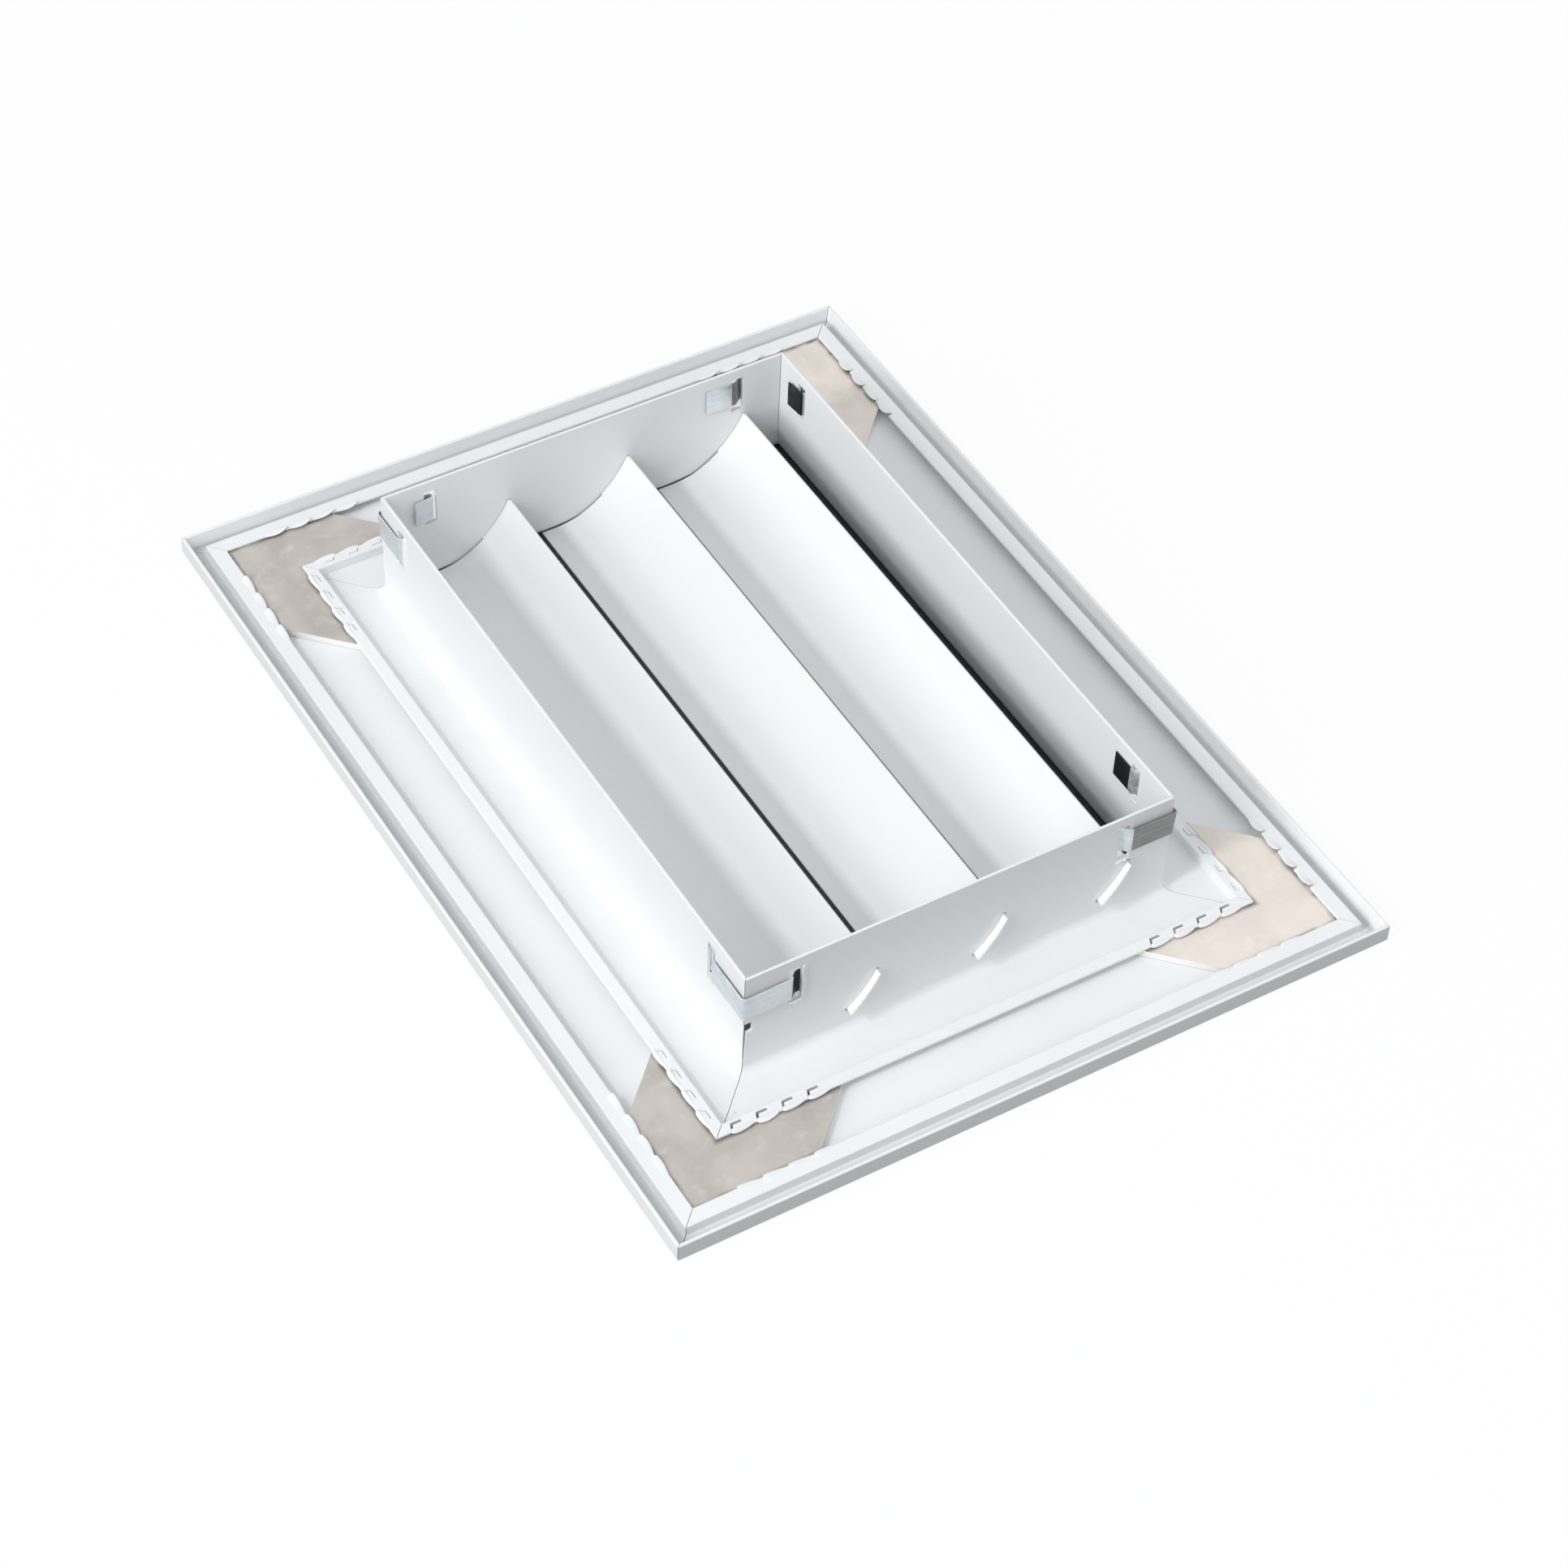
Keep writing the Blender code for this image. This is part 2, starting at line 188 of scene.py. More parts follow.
def mesh_object(name: str, points: Points, faces: Faces | np.ndarray) -> bpy.types.Object:
    """Object at the origin, with its place in its mesh.

    Args:
        name: Name of the piece.
        points: Rows of three numbers.
        faces: Point numbers of each face.

    Returns:
        The new object, linked to the scene.
    """
    mesh = bpy.data.meshes.new(name)
    faces = faces.tolist() if isinstance(faces, np.ndarray) else faces
    mesh.from_pydata(points.reshape(-1, 3).tolist(), [], faces)
    obj = bpy.data.objects.new(name, mesh)
    bpy.context.scene.collection.objects.link(obj)
    return obj


def point_outwards(obj: bpy.types.Object) -> None:
    """Merge a closed mesh's doubles and turn every face outwards.

    Args:
        obj: The object that has the mesh.
    """
    work = bmesh.new()
    work.from_mesh(obj.data)
    bmesh.ops.remove_doubles(work, verts=work.verts, dist=MERGE_DISTANCE)
    bmesh.ops.recalc_face_normals(work, faces=work.faces)
    work.to_mesh(obj.data)
    work.free()


def settle(obj: bpy.types.Object) -> None:
    """Make what an object's modifiers give its own mesh.

    Args:
        obj: The object, which is left without modifiers.
    """
    graph = bpy.context.evaluated_depsgraph_get()
    mesh = bpy.data.meshes.new_from_object(obj.evaluated_get(graph))
    obj.modifiers.clear()
    obj.data = mesh
    mesh.name = obj.name


def cut(obj: bpy.types.Object, points: Points, faces: Faces) -> None:
    """Cut closed shapes out of an object.

    Args:
        obj: The object that is cut.
        points: Points of the shapes.
        faces: Faces of the shapes.
    """
    tool = mesh_object(f"{obj.name}_tool", points, faces)
    point_outwards(tool)
    modifier = obj.modifiers.new("cut", "BOOLEAN")
    modifier.operation = "DIFFERENCE"
    modifier.solver = "EXACT"
    modifier.object = tool
    settle(obj)
    bpy.data.objects.remove(tool)


def thicken(obj: bpy.types.Object, thickness: float, offset: float, rounding: float) -> None:
    """Give an open surface a thickness along its normals, and round its edges.

    Args:
        obj: The object whose mesh is the surface.
        thickness: The thickness that it gets.
        offset: -1 for a wall behind the surface, or 0 for one about it.
        rounding: Width of the rounding.
    """
    solid = obj.modifiers.new("thickness", "SOLIDIFY")
    solid.thickness = thickness
    solid.offset = offset
    solid.use_even_offset = True
    edge = obj.modifiers.new("rounding", "BEVEL")
    edge.width = rounding
    edge.segments = ROUNDING_SEGMENTS
    edge.limit_method = "ANGLE"
    edge.angle_limit = ROUNDING_ANGLE
    settle(obj)


def shade(obj: bpy.types.Object, crease: float = 32.0) -> None:
    """Smooth shading that keeps creases sharp and flat faces flat.

    Args:
        obj: The object that is shaded.
        crease: Least angle of a crease, in degrees.
    """
    obj.data.shade_smooth()
    obj.data.set_sharp_from_angle(angle=math.radians(crease))
    weighted = obj.modifiers.new("even_shading", "WEIGHTED_NORMAL")
    weighted.keep_sharp = True
    weighted.weight = FLAT_WEIGHT


# Finishes


class NodeGraph:
    """A node tree while its nodes are being added and joined."""

    def __init__(self, owner: bpy.types.Material | bpy.types.World) -> None:
        """Clear the owner's nodes.

        Args:
            owner: The material or world whose nodes these are.
        """
        owner.use_nodes = True
        self.tree: bpy.types.NodeTree = owner.node_tree
        self.tree.nodes.clear()

    def add(self, kind: str, inputs: dict | None = None, **settings: object) -> bpy.types.Node:
        """Add a node.

        Args:
            kind: The node's type after ShaderNode.
            inputs: Values or sockets by input name or number.
            settings: The node's own properties.

        Returns:
            The new node.
        """
        node = self.tree.nodes.new(f"ShaderNode{kind}")
        for key, value in settings.items():
            setattr(node, key, value)
        for key, value in (inputs or {}).items():
            if isinstance(value, bpy.types.NodeSocket):
                self.tree.links.new(value, node.inputs[key])
            else:
                node.inputs[key].default_value = value
        return node

    def place(self, scale: tuple[float, float, float] = (1, 1, 1)) -> bpy.types.NodeSocket:
        """Object coordinates, stretched by a scale."""
        source = self.add("TexCoord").outputs["Object"]
        return self.add("Mapping", {"Vector": source, "Scale": scale}).outputs["Vector"]

    def noise(self, vector: bpy.types.NodeSocket, scale: float, detail: float) -> bpy.types.NodeSocket:
        """Soft noise between about 0.2 and 0.8."""
        inputs = {"Vector": vector, "Scale": scale, "Detail": detail}
        return self.add("TexNoise", inputs).outputs[0]

    def ramp(self, value: bpy.types.NodeSocket, low: float, high: float,
             to_low: float = 0.0, to_high: float = 1.0) -> bpy.types.NodeSocket:
        """Clamped straight map of a value from one range to another."""
        inputs = {0: value, 1: low, 2: high, 3: to_low, 4: to_high}
        return self.add("MapRange", inputs).outputs[0]

    def times(self, first: bpy.types.NodeSocket, second: object) -> bpy.types.NodeSocket:
        """Product of two values."""
        return self.add("Math", {0: first, 1: second}, operation="MULTIPLY").outputs[0]

    def blend(self, share: bpy.types.NodeSocket, first: object, second: object) -> bpy.types.NodeSocket:
        """Colour that goes from the first to the second as share goes from 0 to 1."""
        node = self.add("Mix", {0: share, 6: first, 7: second}, data_type="RGBA")
        return node.outputs[2]

    def relief(self, height: bpy.types.NodeSocket, depth: float) -> bpy.types.NodeSocket:
        """Normal of a surface raised by a height times a depth in metres."""
        inputs = {"Height": height, "Distance": depth, "Strength": 1.0}
        return self.add("Bump", inputs).outputs["Normal"]

    def inset(self, width: float, length: float) -> bpy.types.NodeSocket:
        """Distance in plan from the edge of a face that is centred on the origin.

        Args:
            width: The face's size along X.
            length: The face's size along Y.

        Returns:
            The smaller of the distances from its two nearest sides.
        """
        spot = self.add("SeparateXYZ", {0: self.place()})
        insets = []
        for axis, size in (("X", width), ("Y", length)):
            away = self.add("Math", {0: spot.outputs[axis]}, operation="ABSOLUTE").outputs[0]
            insets.append(self.add("Math", {0: size / 2, 1: away}, operation="SUBTRACT").outputs[0])
        return self.add("Math", {0: insets[0], 1: insets[1]}, operation="MINIMUM").outputs[0]

    def surface(self, inputs: dict) -> None:
        """Join a Principled shader with these inputs to the output."""
        shader = self.add("BsdfPrincipled", inputs).outputs[0]
        self.add("OutputMaterial", {"Surface": shader})


def opaque(colour: tuple[float, float, float]) -> tuple[float, float, float, float]:
    """Colour with full alpha."""
    return (*colour, 1.0)


@dataclass(frozen=True)
class PowderCoat:
    """White powder coat with a fine orange peel, faint smudges and a few specks of dirt."""

    name: str
    colour: tuple[float, float, float] = (0.825, 0.837, 0.846)
    cooler: tuple[float, float, float] = (0.79, 0.805, 0.818)
    smudge: tuple[float, float, float] = (0.52, 0.51, 0.49)
    speck: tuple[float, float, float] = (0.20, 0.19, 0.18)
    # Blue grey painted shade for the gutter's floor, where the lip and rim shade it.
    gutter_shade: tuple[float, float, float] = (0.30, 0.32, 0.345)
    soiling: float = 0.07
    gutter_shading: float = 0.47
    gutter_shade_edge: float = 0.0007
    roughness: float = 0.44
    cloud_scale: float = 9.0
    smudge_scale: float = 34.0
    speck_scale: float = 95.0
    sheen_scale: float = 60.0
    peel_scale: float = 620.0
    peel_depth: float = 0.000008

    def gutter_shade_share(self, graph: NodeGraph, section: "Extrusion") -> bpy.types.NodeSocket:
        """Share of painted shade in the gutter: most on its floor by the rim, less towards the rib.

        Args:
            graph: The material's nodes.
            section: The extrusion that has the gutter.

        Returns:
            The share, which fades up the rim and is 0 outside the gutter.
        """
        inset = graph.inset(section.face_width, section.face_length)
        rim, rib = section.rim_foot, section.outer_rib
        from_rim = graph.ramp(inset, rim - self.gutter_shade_edge, rim, 0.0, self.gutter_shading)
        to_rib = graph.ramp(inset, rim + 2 * self.gutter_shade_edge, rib, 1.0, 0.0)
        height = graph.add("SeparateXYZ", {0: graph.place()}).outputs["Z"]
        above = graph.ramp(height, section.wall / 3, section.wall / 2)
        level = section.wall + self.gutter_shade_edge
        below = graph.ramp(height, level, level + 3 * self.gutter_shade_edge, 1.0, 0.0)
        return graph.times(graph.times(from_rim, to_rib), graph.times(above, below))

    def material(self, section: "Extrusion | None" = None) -> bpy.types.Material:
        """Build the finish.

        Args:
            section: The extrusion whose gutter gets painted shade, if the finish goes on one.

        Returns:
            The material.
        """
        material = bpy.data.materials.new(self.name)
        graph = NodeGraph(material)
        place = graph.place()
        cloud = graph.ramp(graph.noise(place, self.cloud_scale, 1.0), 0.2, 0.8, 0.0, 0.5)
        colour = graph.blend(cloud, opaque(self.colour), opaque(self.cooler))
        rubbed = graph.noise(place, self.smudge_scale, 2.0)
        rubbed = graph.ramp(rubbed, 0.45, 0.95, 0.0, self.soiling)
        colour = graph.blend(rubbed, colour, opaque(self.smudge))
        cells = graph.add("TexVoronoi", {"Vector": place, "Scale": self.speck_scale})
        near = graph.ramp(cells.outputs["Distance"], 0.05, 0.10, 1.0, 0.0)
        picked = graph.add("SeparateColor", {0: cells.outputs["Color"]}).outputs[0]
        chosen = graph.ramp(picked, 0.996, 0.998, 0.0, 9 * self.soiling)
        colour = graph.blend(graph.times(near, chosen), colour, opaque(self.speck))
        # Painted shade darkens the gutter's floor by the rim and fades up the rim's foot.
        if section:
            colour = graph.blend(self.gutter_shade_share(graph, section), colour, opaque(self.gutter_shade))
        sheen = graph.noise(place, self.sheen_scale, 1.0)
        peel = graph.noise(place, self.peel_scale, 1.0)
        graph.surface({
            "Base Color": colour,
            "Roughness": graph.ramp(sheen, 0.2, 0.8, self.roughness - 0.02, self.roughness + 0.03),
            "Normal": graph.relief(peel, self.peel_depth),
        })
        return material


@dataclass(frozen=True)
class BarePlate:
    """Bare plate in beige grey, mottled, scratched by handling and brighter where it is cut."""

    name: str
    colour: tuple[float, float, float] = (0.555, 0.51, 0.47)
    stain: tuple[float, float, float] = (0.455, 0.42, 0.39)
    bright: tuple[float, float, float] = (0.65, 0.615, 0.585)
    scratch: tuple[float, float, float] = (0.34, 0.31, 0.29)
    sheared: tuple[float, float, float] = (0.86, 0.855, 0.845)
    # Near black for grime and painted shade along the lips' edges.
    grime_and_shade: tuple[float, float, float] = (0.10, 0.085, 0.075)
    grime_and_shade_reach: float = 0.0026
    metallic: float = 0.15
    roughness: float = 0.46
    stain_scale: float = 42.0
    wear_scale: float = 130.0
    warp_scale: float = 30.0
    warp: float = 0.045
    scratch_scale: float = 24.0
    break_scale: float = 55.0
    grime_and_shade_scale: float = 85.0
    grain_scale: float = 900.0
    grain_depth: float = 0.00004

    def lip_grime_and_shade(self, graph: NodeGraph, section: "Extrusion") -> bpy.types.NodeSocket:
        """1 along the edges of the lips over a key, for grime and painted shade under them, fading to 0
        away.

        Args:
            graph: The material's nodes.
            section: The extrusion that has the lips.

        Returns:
            The share of grime and painted shade.
        """
        inset = graph.inset(section.face_width, section.face_length)
        outer, inner = section.outer_lip_edge, section.inner_lip_edge
        at_outer = graph.ramp(inset, outer, outer + self.grime_and_shade_reach, 1.0, 0.0)
        at_inner = graph.ramp(inset, inner - self.grime_and_shade_reach, inner, 0.0, 1.0)
        return graph.add("Math", {0: at_outer, 1: at_inner}, operation="MAXIMUM").outputs[0]

    def material(self, section: "Extrusion") -> bpy.types.Material:
        """Build the finish.

        Args:
            section: The extrusion whose lips the keys lie under.

        Returns:
            The material.
        """
        material = bpy.data.materials.new(self.name)
        graph = NodeGraph(material)
        place = graph.place()
        patches = graph.ramp(graph.noise(place, self.stain_scale, 6.0), 0.40, 0.66)
        colour = graph.blend(patches, opaque(self.colour), opaque(self.stain))
        worn = graph.ramp(graph.noise(place, self.wear_scale, 4.0), 0.55, 0.72, 0.0, 0.55)
        colour = graph.blend(worn, colour, opaque(self.bright))
        inputs = {"Vector": place, "Scale": self.warp_scale, "Detail": 2.0}
        warped = graph.add("TexNoise", inputs).outputs[1]
        bent = graph.add("Mix", {0: self.warp, 4: place, 5: warped}, data_type="VECTOR").outputs[1]
        inputs = {"Vector": bent, "Scale": self.scratch_scale}
        lines = graph.add("TexVoronoi", inputs, feature="DISTANCE_TO_EDGE")
        drawn = graph.ramp(lines.outputs["Distance"], 0.004, 0.012, 1.0, 0.0)
        broken = graph.ramp(graph.noise(place, self.break_scale, 2.0), 0.56, 0.64, 0.0, 0.14)
        colour = graph.blend(graph.times(drawn, broken), colour, opaque(self.scratch))
        # Grime and painted shade darken the key along the lips' edges, where the lips shade it.
        grime_and_shade_breakup = graph.ramp(graph.noise(place, self.grime_and_shade_scale, 2.0), 0.42, 0.60, 0.2, 0.9)
        grime_and_shade_share = graph.times(self.lip_grime_and_shade(graph, section), grime_and_shade_breakup)
        colour = graph.blend(grime_and_shade_share, colour, opaque(self.grime_and_shade))
        normal = graph.add("NewGeometry").outputs["Normal"]
        upward = graph.add("SeparateXYZ", {0: normal}).outputs["Z"]
        colour = graph.blend(graph.ramp(upward, 0.3, 0.6, 0.9, 0.0), colour, opaque(self.sheared))
        grain = graph.noise(place, self.grain_scale, 2.0)
        graph.surface({
            "Base Color": colour,
            "Metallic": self.metallic,
            "Roughness": graph.ramp(patches, 0.0, 1.0, self.roughness - 0.06, self.roughness + 0.10),
            "Normal": graph.relief(grain, self.grain_depth),
        })
        return material


@dataclass(frozen=True)
class Galvanised:
    """Zinc coat on steel strip, with spangle, streaks along the strip and darkened stretches."""

    name: str
    dark: tuple[float, float, float] = (0.60, 0.65, 0.68)
    light: tuple[float, float, float] = (0.82, 0.87, 0.90)
    scuff: tuple[float, float, float] = (0.36, 0.38, 0.39)
    darker_grey: tuple[float, float, float] = (0.20, 0.205, 0.20)
    black: tuple[float, float, float] = (0.030, 0.036, 0.040)
    darker_stretches: tuple[Stretch, ...] = ()
    blackened: tuple[Stretch, ...] = ()
    fade: float = 0.0004
    metallic: float = 0.75
    roughness: float = 0.36
    spangle_scale: float = 260.0
    streak_scale: float = 75.0
    streak_squash: float = 16.0
    scuff_scale: float = 160.0
    streak_depth: float = 0.0002

    def within(self, graph: NodeGraph, bounds: Stretch) -> bpy.types.NodeSocket:
        """1 inside a rectangle in plan, else 0.

        Args:
            graph: The material's nodes.
            bounds: Lowest and highest X, then lowest and highest Y.

        Returns:
            The share, which changes over a short fade.
        """
        spot = graph.add("SeparateXYZ", {0: graph.add("TexCoord").outputs["Object"]})
        share = None
        for axis, low, high in (("X", *bounds[:2]), ("Y", *bounds[2:])):
            inside = graph.ramp(spot.outputs[axis], low, low + self.fade)
            before = graph.ramp(spot.outputs[axis], high - self.fade, high, 1.0, 0.0)
            both = graph.times(inside, before)
            share = both if share is None else graph.times(share, both)
        return share

    def material(self) -> bpy.types.Material:
        """Build the finish.

        Returns:
            The material.
        """
        material = bpy.data.materials.new(self.name)
        graph = NodeGraph(material)
        place = graph.place()
        cells = graph.add("TexVoronoi", {"Vector": place, "Scale": self.spangle_scale})
        spangle = graph.add("SeparateColor", {0: cells.outputs["Color"]}).outputs[0]
        squashed = graph.place((1.0, 1.0, self.streak_squash))
        streaks = graph.noise(squashed, self.streak_scale, 3.0)
        tone = graph.ramp(streaks, 0.3, 0.7, 0.15, 0.85)
        tone = graph.add("Mix", {0: 0.35, 2: tone, 3: spangle}).outputs[0]
        colour = graph.blend(tone, opaque(self.dark), opaque(self.light))
        worn = graph.ramp(graph.noise(place, self.scuff_scale, 4.0), 0.60, 0.68, 0.0, 0.35)
        colour = graph.blend(worn, colour, opaque(self.scuff))
        uneven = graph.ramp(streaks, 0.3, 0.7, 0.75, 1.0)
        # Darker grey, uneven stretches of strip at the right corners.
        for bounds in self.darker_stretches:
            share = graph.times(self.within(graph, bounds), uneven)
            colour = graph.blend(share, colour, opaque(self.darker_grey))
        # Black stretches; the near left one is painted shade in its slot.
        for bounds in self.blackened:
            colour = graph.blend(self.within(graph, bounds), colour, opaque(self.black))
        graph.surface({
            "Base Color": colour,
            "Metallic": self.metallic,
            "Roughness": graph.ramp(spangle, 0.0, 1.0, self.roughness - 0.08, self.roughness + 0.14),
            "Normal": graph.relief(streaks, self.streak_depth),
        })
        return material


FRAME_PAINT = PowderCoat("frame_powder_coat")
BLADE_PAINT = PowderCoat(
    "blade_powder_coat", colour=(0.88, 0.876, 0.872), cooler=(0.864, 0.864, 0.864), soiling=0.0,
)
GREY_PLATE = BarePlate("key_grey_plate")
# A brighter copy of the key plate for the right keys: painted reflection of bright surroundings.
REFLECTING_PLATE = BarePlate(
    "key_painted_reflection_plate", colour=(0.81, 0.735, 0.67), stain=(0.715, 0.655, 0.60), bright=(0.85, 0.80, 0.75),
)
ZINC = Galvanised("strip_galvanised")
DARKENED_ZINC = {
    Corner.NEAR_LEFT: Galvanised(
        "strip_painted_shade_near_left",
        # Black stretch in the near wall's slot: painted shade where the wall shades the strip.
        blackened=((-0.0885, -0.0830, -0.178, -0.170),),
    ),
    Corner.NEAR_RIGHT: Galvanised(
        "strip_dark_near_right",
        darker_stretches=((0.090, 0.115, -0.178, -0.175),),
        blackened=((0.108, 0.111, -0.1438, -0.130),),
    ),
    Corner.FAR_RIGHT: Galvanised(
        "strip_dark_far_right",
        darker_stretches=((0.082, 0.089, 0.171, 0.178),),
        blackened=((0.107, 0.111, 0.150, 0.165),),
    ),
}


# The grille's sub-assemblies


@dataclass(frozen=True)
class Extrusion:
    """Section of the frame's extrusion, and the face and neck that it goes round."""

    face_width: float = 0.375
    face_length: float = 0.500
    neck_height: float = 0.064
    flange: float = 0.075
    wall: float = 0.0015
    neck_fillet: float = 0.005
    rim_height: float = 0.0092
    rim_wall: float = 0.0018
    rim_foot: float = 0.0034
    rim_round: float = 0.0006
    rib_wall: float = 0.0015
    lip_wall: float = 0.0012
    outer_rib: float = 0.0091
    outer_lip: float = 0.0078
    channel: float = 0.0386
    inner_lip: float = 0.0060
    edge_round: float = 0.0004
    clearance: float = 0.0003
    key_thickness: float = 0.0036

    @property
    def lip_underside(self) -> float:
        """Height of the lips' undersides."""
        return self.wall + self.key_thickness + 2 * self.clearance

    @property
    def lip_top(self) -> float:
        """Height of the lips' tops."""
        return self.lip_underside + self.lip_wall

    @property
    def channel_start(self) -> float:
        """Inset of the channel's outer side."""
        return self.outer_rib + self.rib_wall

    @property
    def channel_end(self) -> float:
        """Inset of the channel's inner side."""
        return self.channel_start + self.channel

    @property
    def outer_lip_edge(self) -> float:
        """Inset of the outer lip's free edge."""
        return self.outer_rib + self.outer_lip

    @property
    def inner_rib_back(self) -> float:
        """Inset of the inner rib's face towards the neck."""
        return self.channel_end + self.rib_wall

    @property
    def inner_lip_edge(self) -> float:
        """Inset of the inner lip's free edge."""
        return self.inner_rib_back - self.inner_lip

    @property
    def neck_inside(self) -> float:
        """Inset of the neck wall's inner face."""
        return self.flange + self.wall

    def length(self, side: Side) -> float:
        """Outer length of a side."""
        return self.face_width if side.is_short else self.face_length

    def neck_end(self, side: Side) -> float:
        """Distance from a side's middle to the neck's outer corner."""
        return self.length(side) / 2 - self.flange

    def on_side(self, points: Points, side: Side) -> Points:
        """Points given as (along the side, inset, height), in the frame's place.

        Args:
            points: Array whose last axis is the three numbers.
            side: The side that carries them.

        Returns:
            Rows of three numbers in the grille's own axes.
        """
        across = self.face_length if side.is_short else self.face_width
        foot = {Side.NEAR: (0, -1), Side.RIGHT: (1, 0), Side.FAR: (0, 1), Side.LEFT: (-1, 0)}[side]
        return turned(points, side.value, (foot[0] * across / 2, foot[1] * across / 2, 0))

    def on_neck_corner(self, points: Points, corner: Corner) -> Points:
        """Points given along the two walls of a neck's corner, in the frame's place.

        Args:
            points: Array whose last axis is (along one wall, along the other, height).
            corner: The corner that they belong to.

        Returns:
            Rows of three numbers in the grille's own axes.
        """
        x = corner.signs[0] * (self.face_width / 2 - self.flange)
        y = corner.signs[1] * (self.face_length / 2 - self.flange)
        return turned(points, corner.value, (x, y, 0))

    def wall_top(self, right: float, left: float, height: float, radius: float) -> Points:
        """Outline over a wall's top: a quarter arc at its right edge, then one at its left.

        Args:
            right: Inset of the wall's right face.
            left: Inset of its left face.
            height: Height of its top.
            radius: Radius of both arcs.

        Returns:
            Rows of (inset, height).
        """
        level = height - radius
        return np.vstack([
            arc((right - radius, level), radius, 0, QUARTER, EDGE_STEPS),
            arc((left + radius, level), radius, QUARTER, 2 * QUARTER, EDGE_STEPS),
        ])

    def section(self) -> Points:
        """Closed outline: straight runs joined by circular arcs.

        Returns:
            Rows of (inset, height).
        """
        bend = (self.flange - self.neck_fillet, self.wall + self.neck_fillet)
        return np.vstack([
            [(0, 0)],
            arc(bend, self.neck_fillet + self.wall, -QUARTER, 0, BEND_STEPS),
            self.wall_top(self.neck_inside, self.flange, self.neck_height, self.edge_round),
            arc(bend, self.neck_fillet, 0, -QUARTER, BEND_STEPS),
            [(self.inner_rib_back, self.wall)],
            self.wall_top(self.inner_rib_back, self.inner_lip_edge, self.lip_top, self.edge_round),
            [(self.inner_lip_edge, self.lip_underside)],
            [(self.channel_end, self.lip_underside)],
            [(self.channel_end, self.wall)],
            [(self.channel_start, self.wall)],
            [(self.channel_start, self.lip_underside)],
            [(self.outer_lip_edge, self.lip_underside)],
            self.wall_top(self.outer_lip_edge, self.outer_rib, self.lip_top, self.edge_round),
            [(self.outer_rib, self.wall)],
            [(self.rim_foot, self.wall)],
            self.wall_top(self.rim_wall, 0, self.rim_height, self.rim_round),
        ])


@dataclass
class SubAssembly:
    """Pieces that belong together, with the section that they fit and their material slot."""

    section: Extrusion
    pieces: list[bpy.types.Object] = field(default_factory=list)
    slot: ClassVar[str] = ""

    def keep(self, piece: bpy.types.Object, *nodes: str) -> None:
        """Let a finished piece ride on the grille, in the place of these solids.

        Args:
            piece: The finished piece.
            nodes: Names of the solids that it stands for.
        """
        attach(piece, "root")
        if nodes:
            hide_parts(*nodes)
        self.pieces.append(piece)
        LOG.info("%s: %d faces", piece.name, len(piece.data.polygons))

    def dress(self, material: bpy.types.Material, *corners: Corner) -> None:
        """Give the pieces one material.

        Args:
            material: The finish.
            corners: Only the pieces at these corners; none means every piece.
        """
        endings = tuple(corner.name.lower() for corner in corners)
        for piece in self.pieces:
            if not endings or piece.name.endswith(endings):
                piece.data.materials.clear()
                piece.data.materials.append(material)


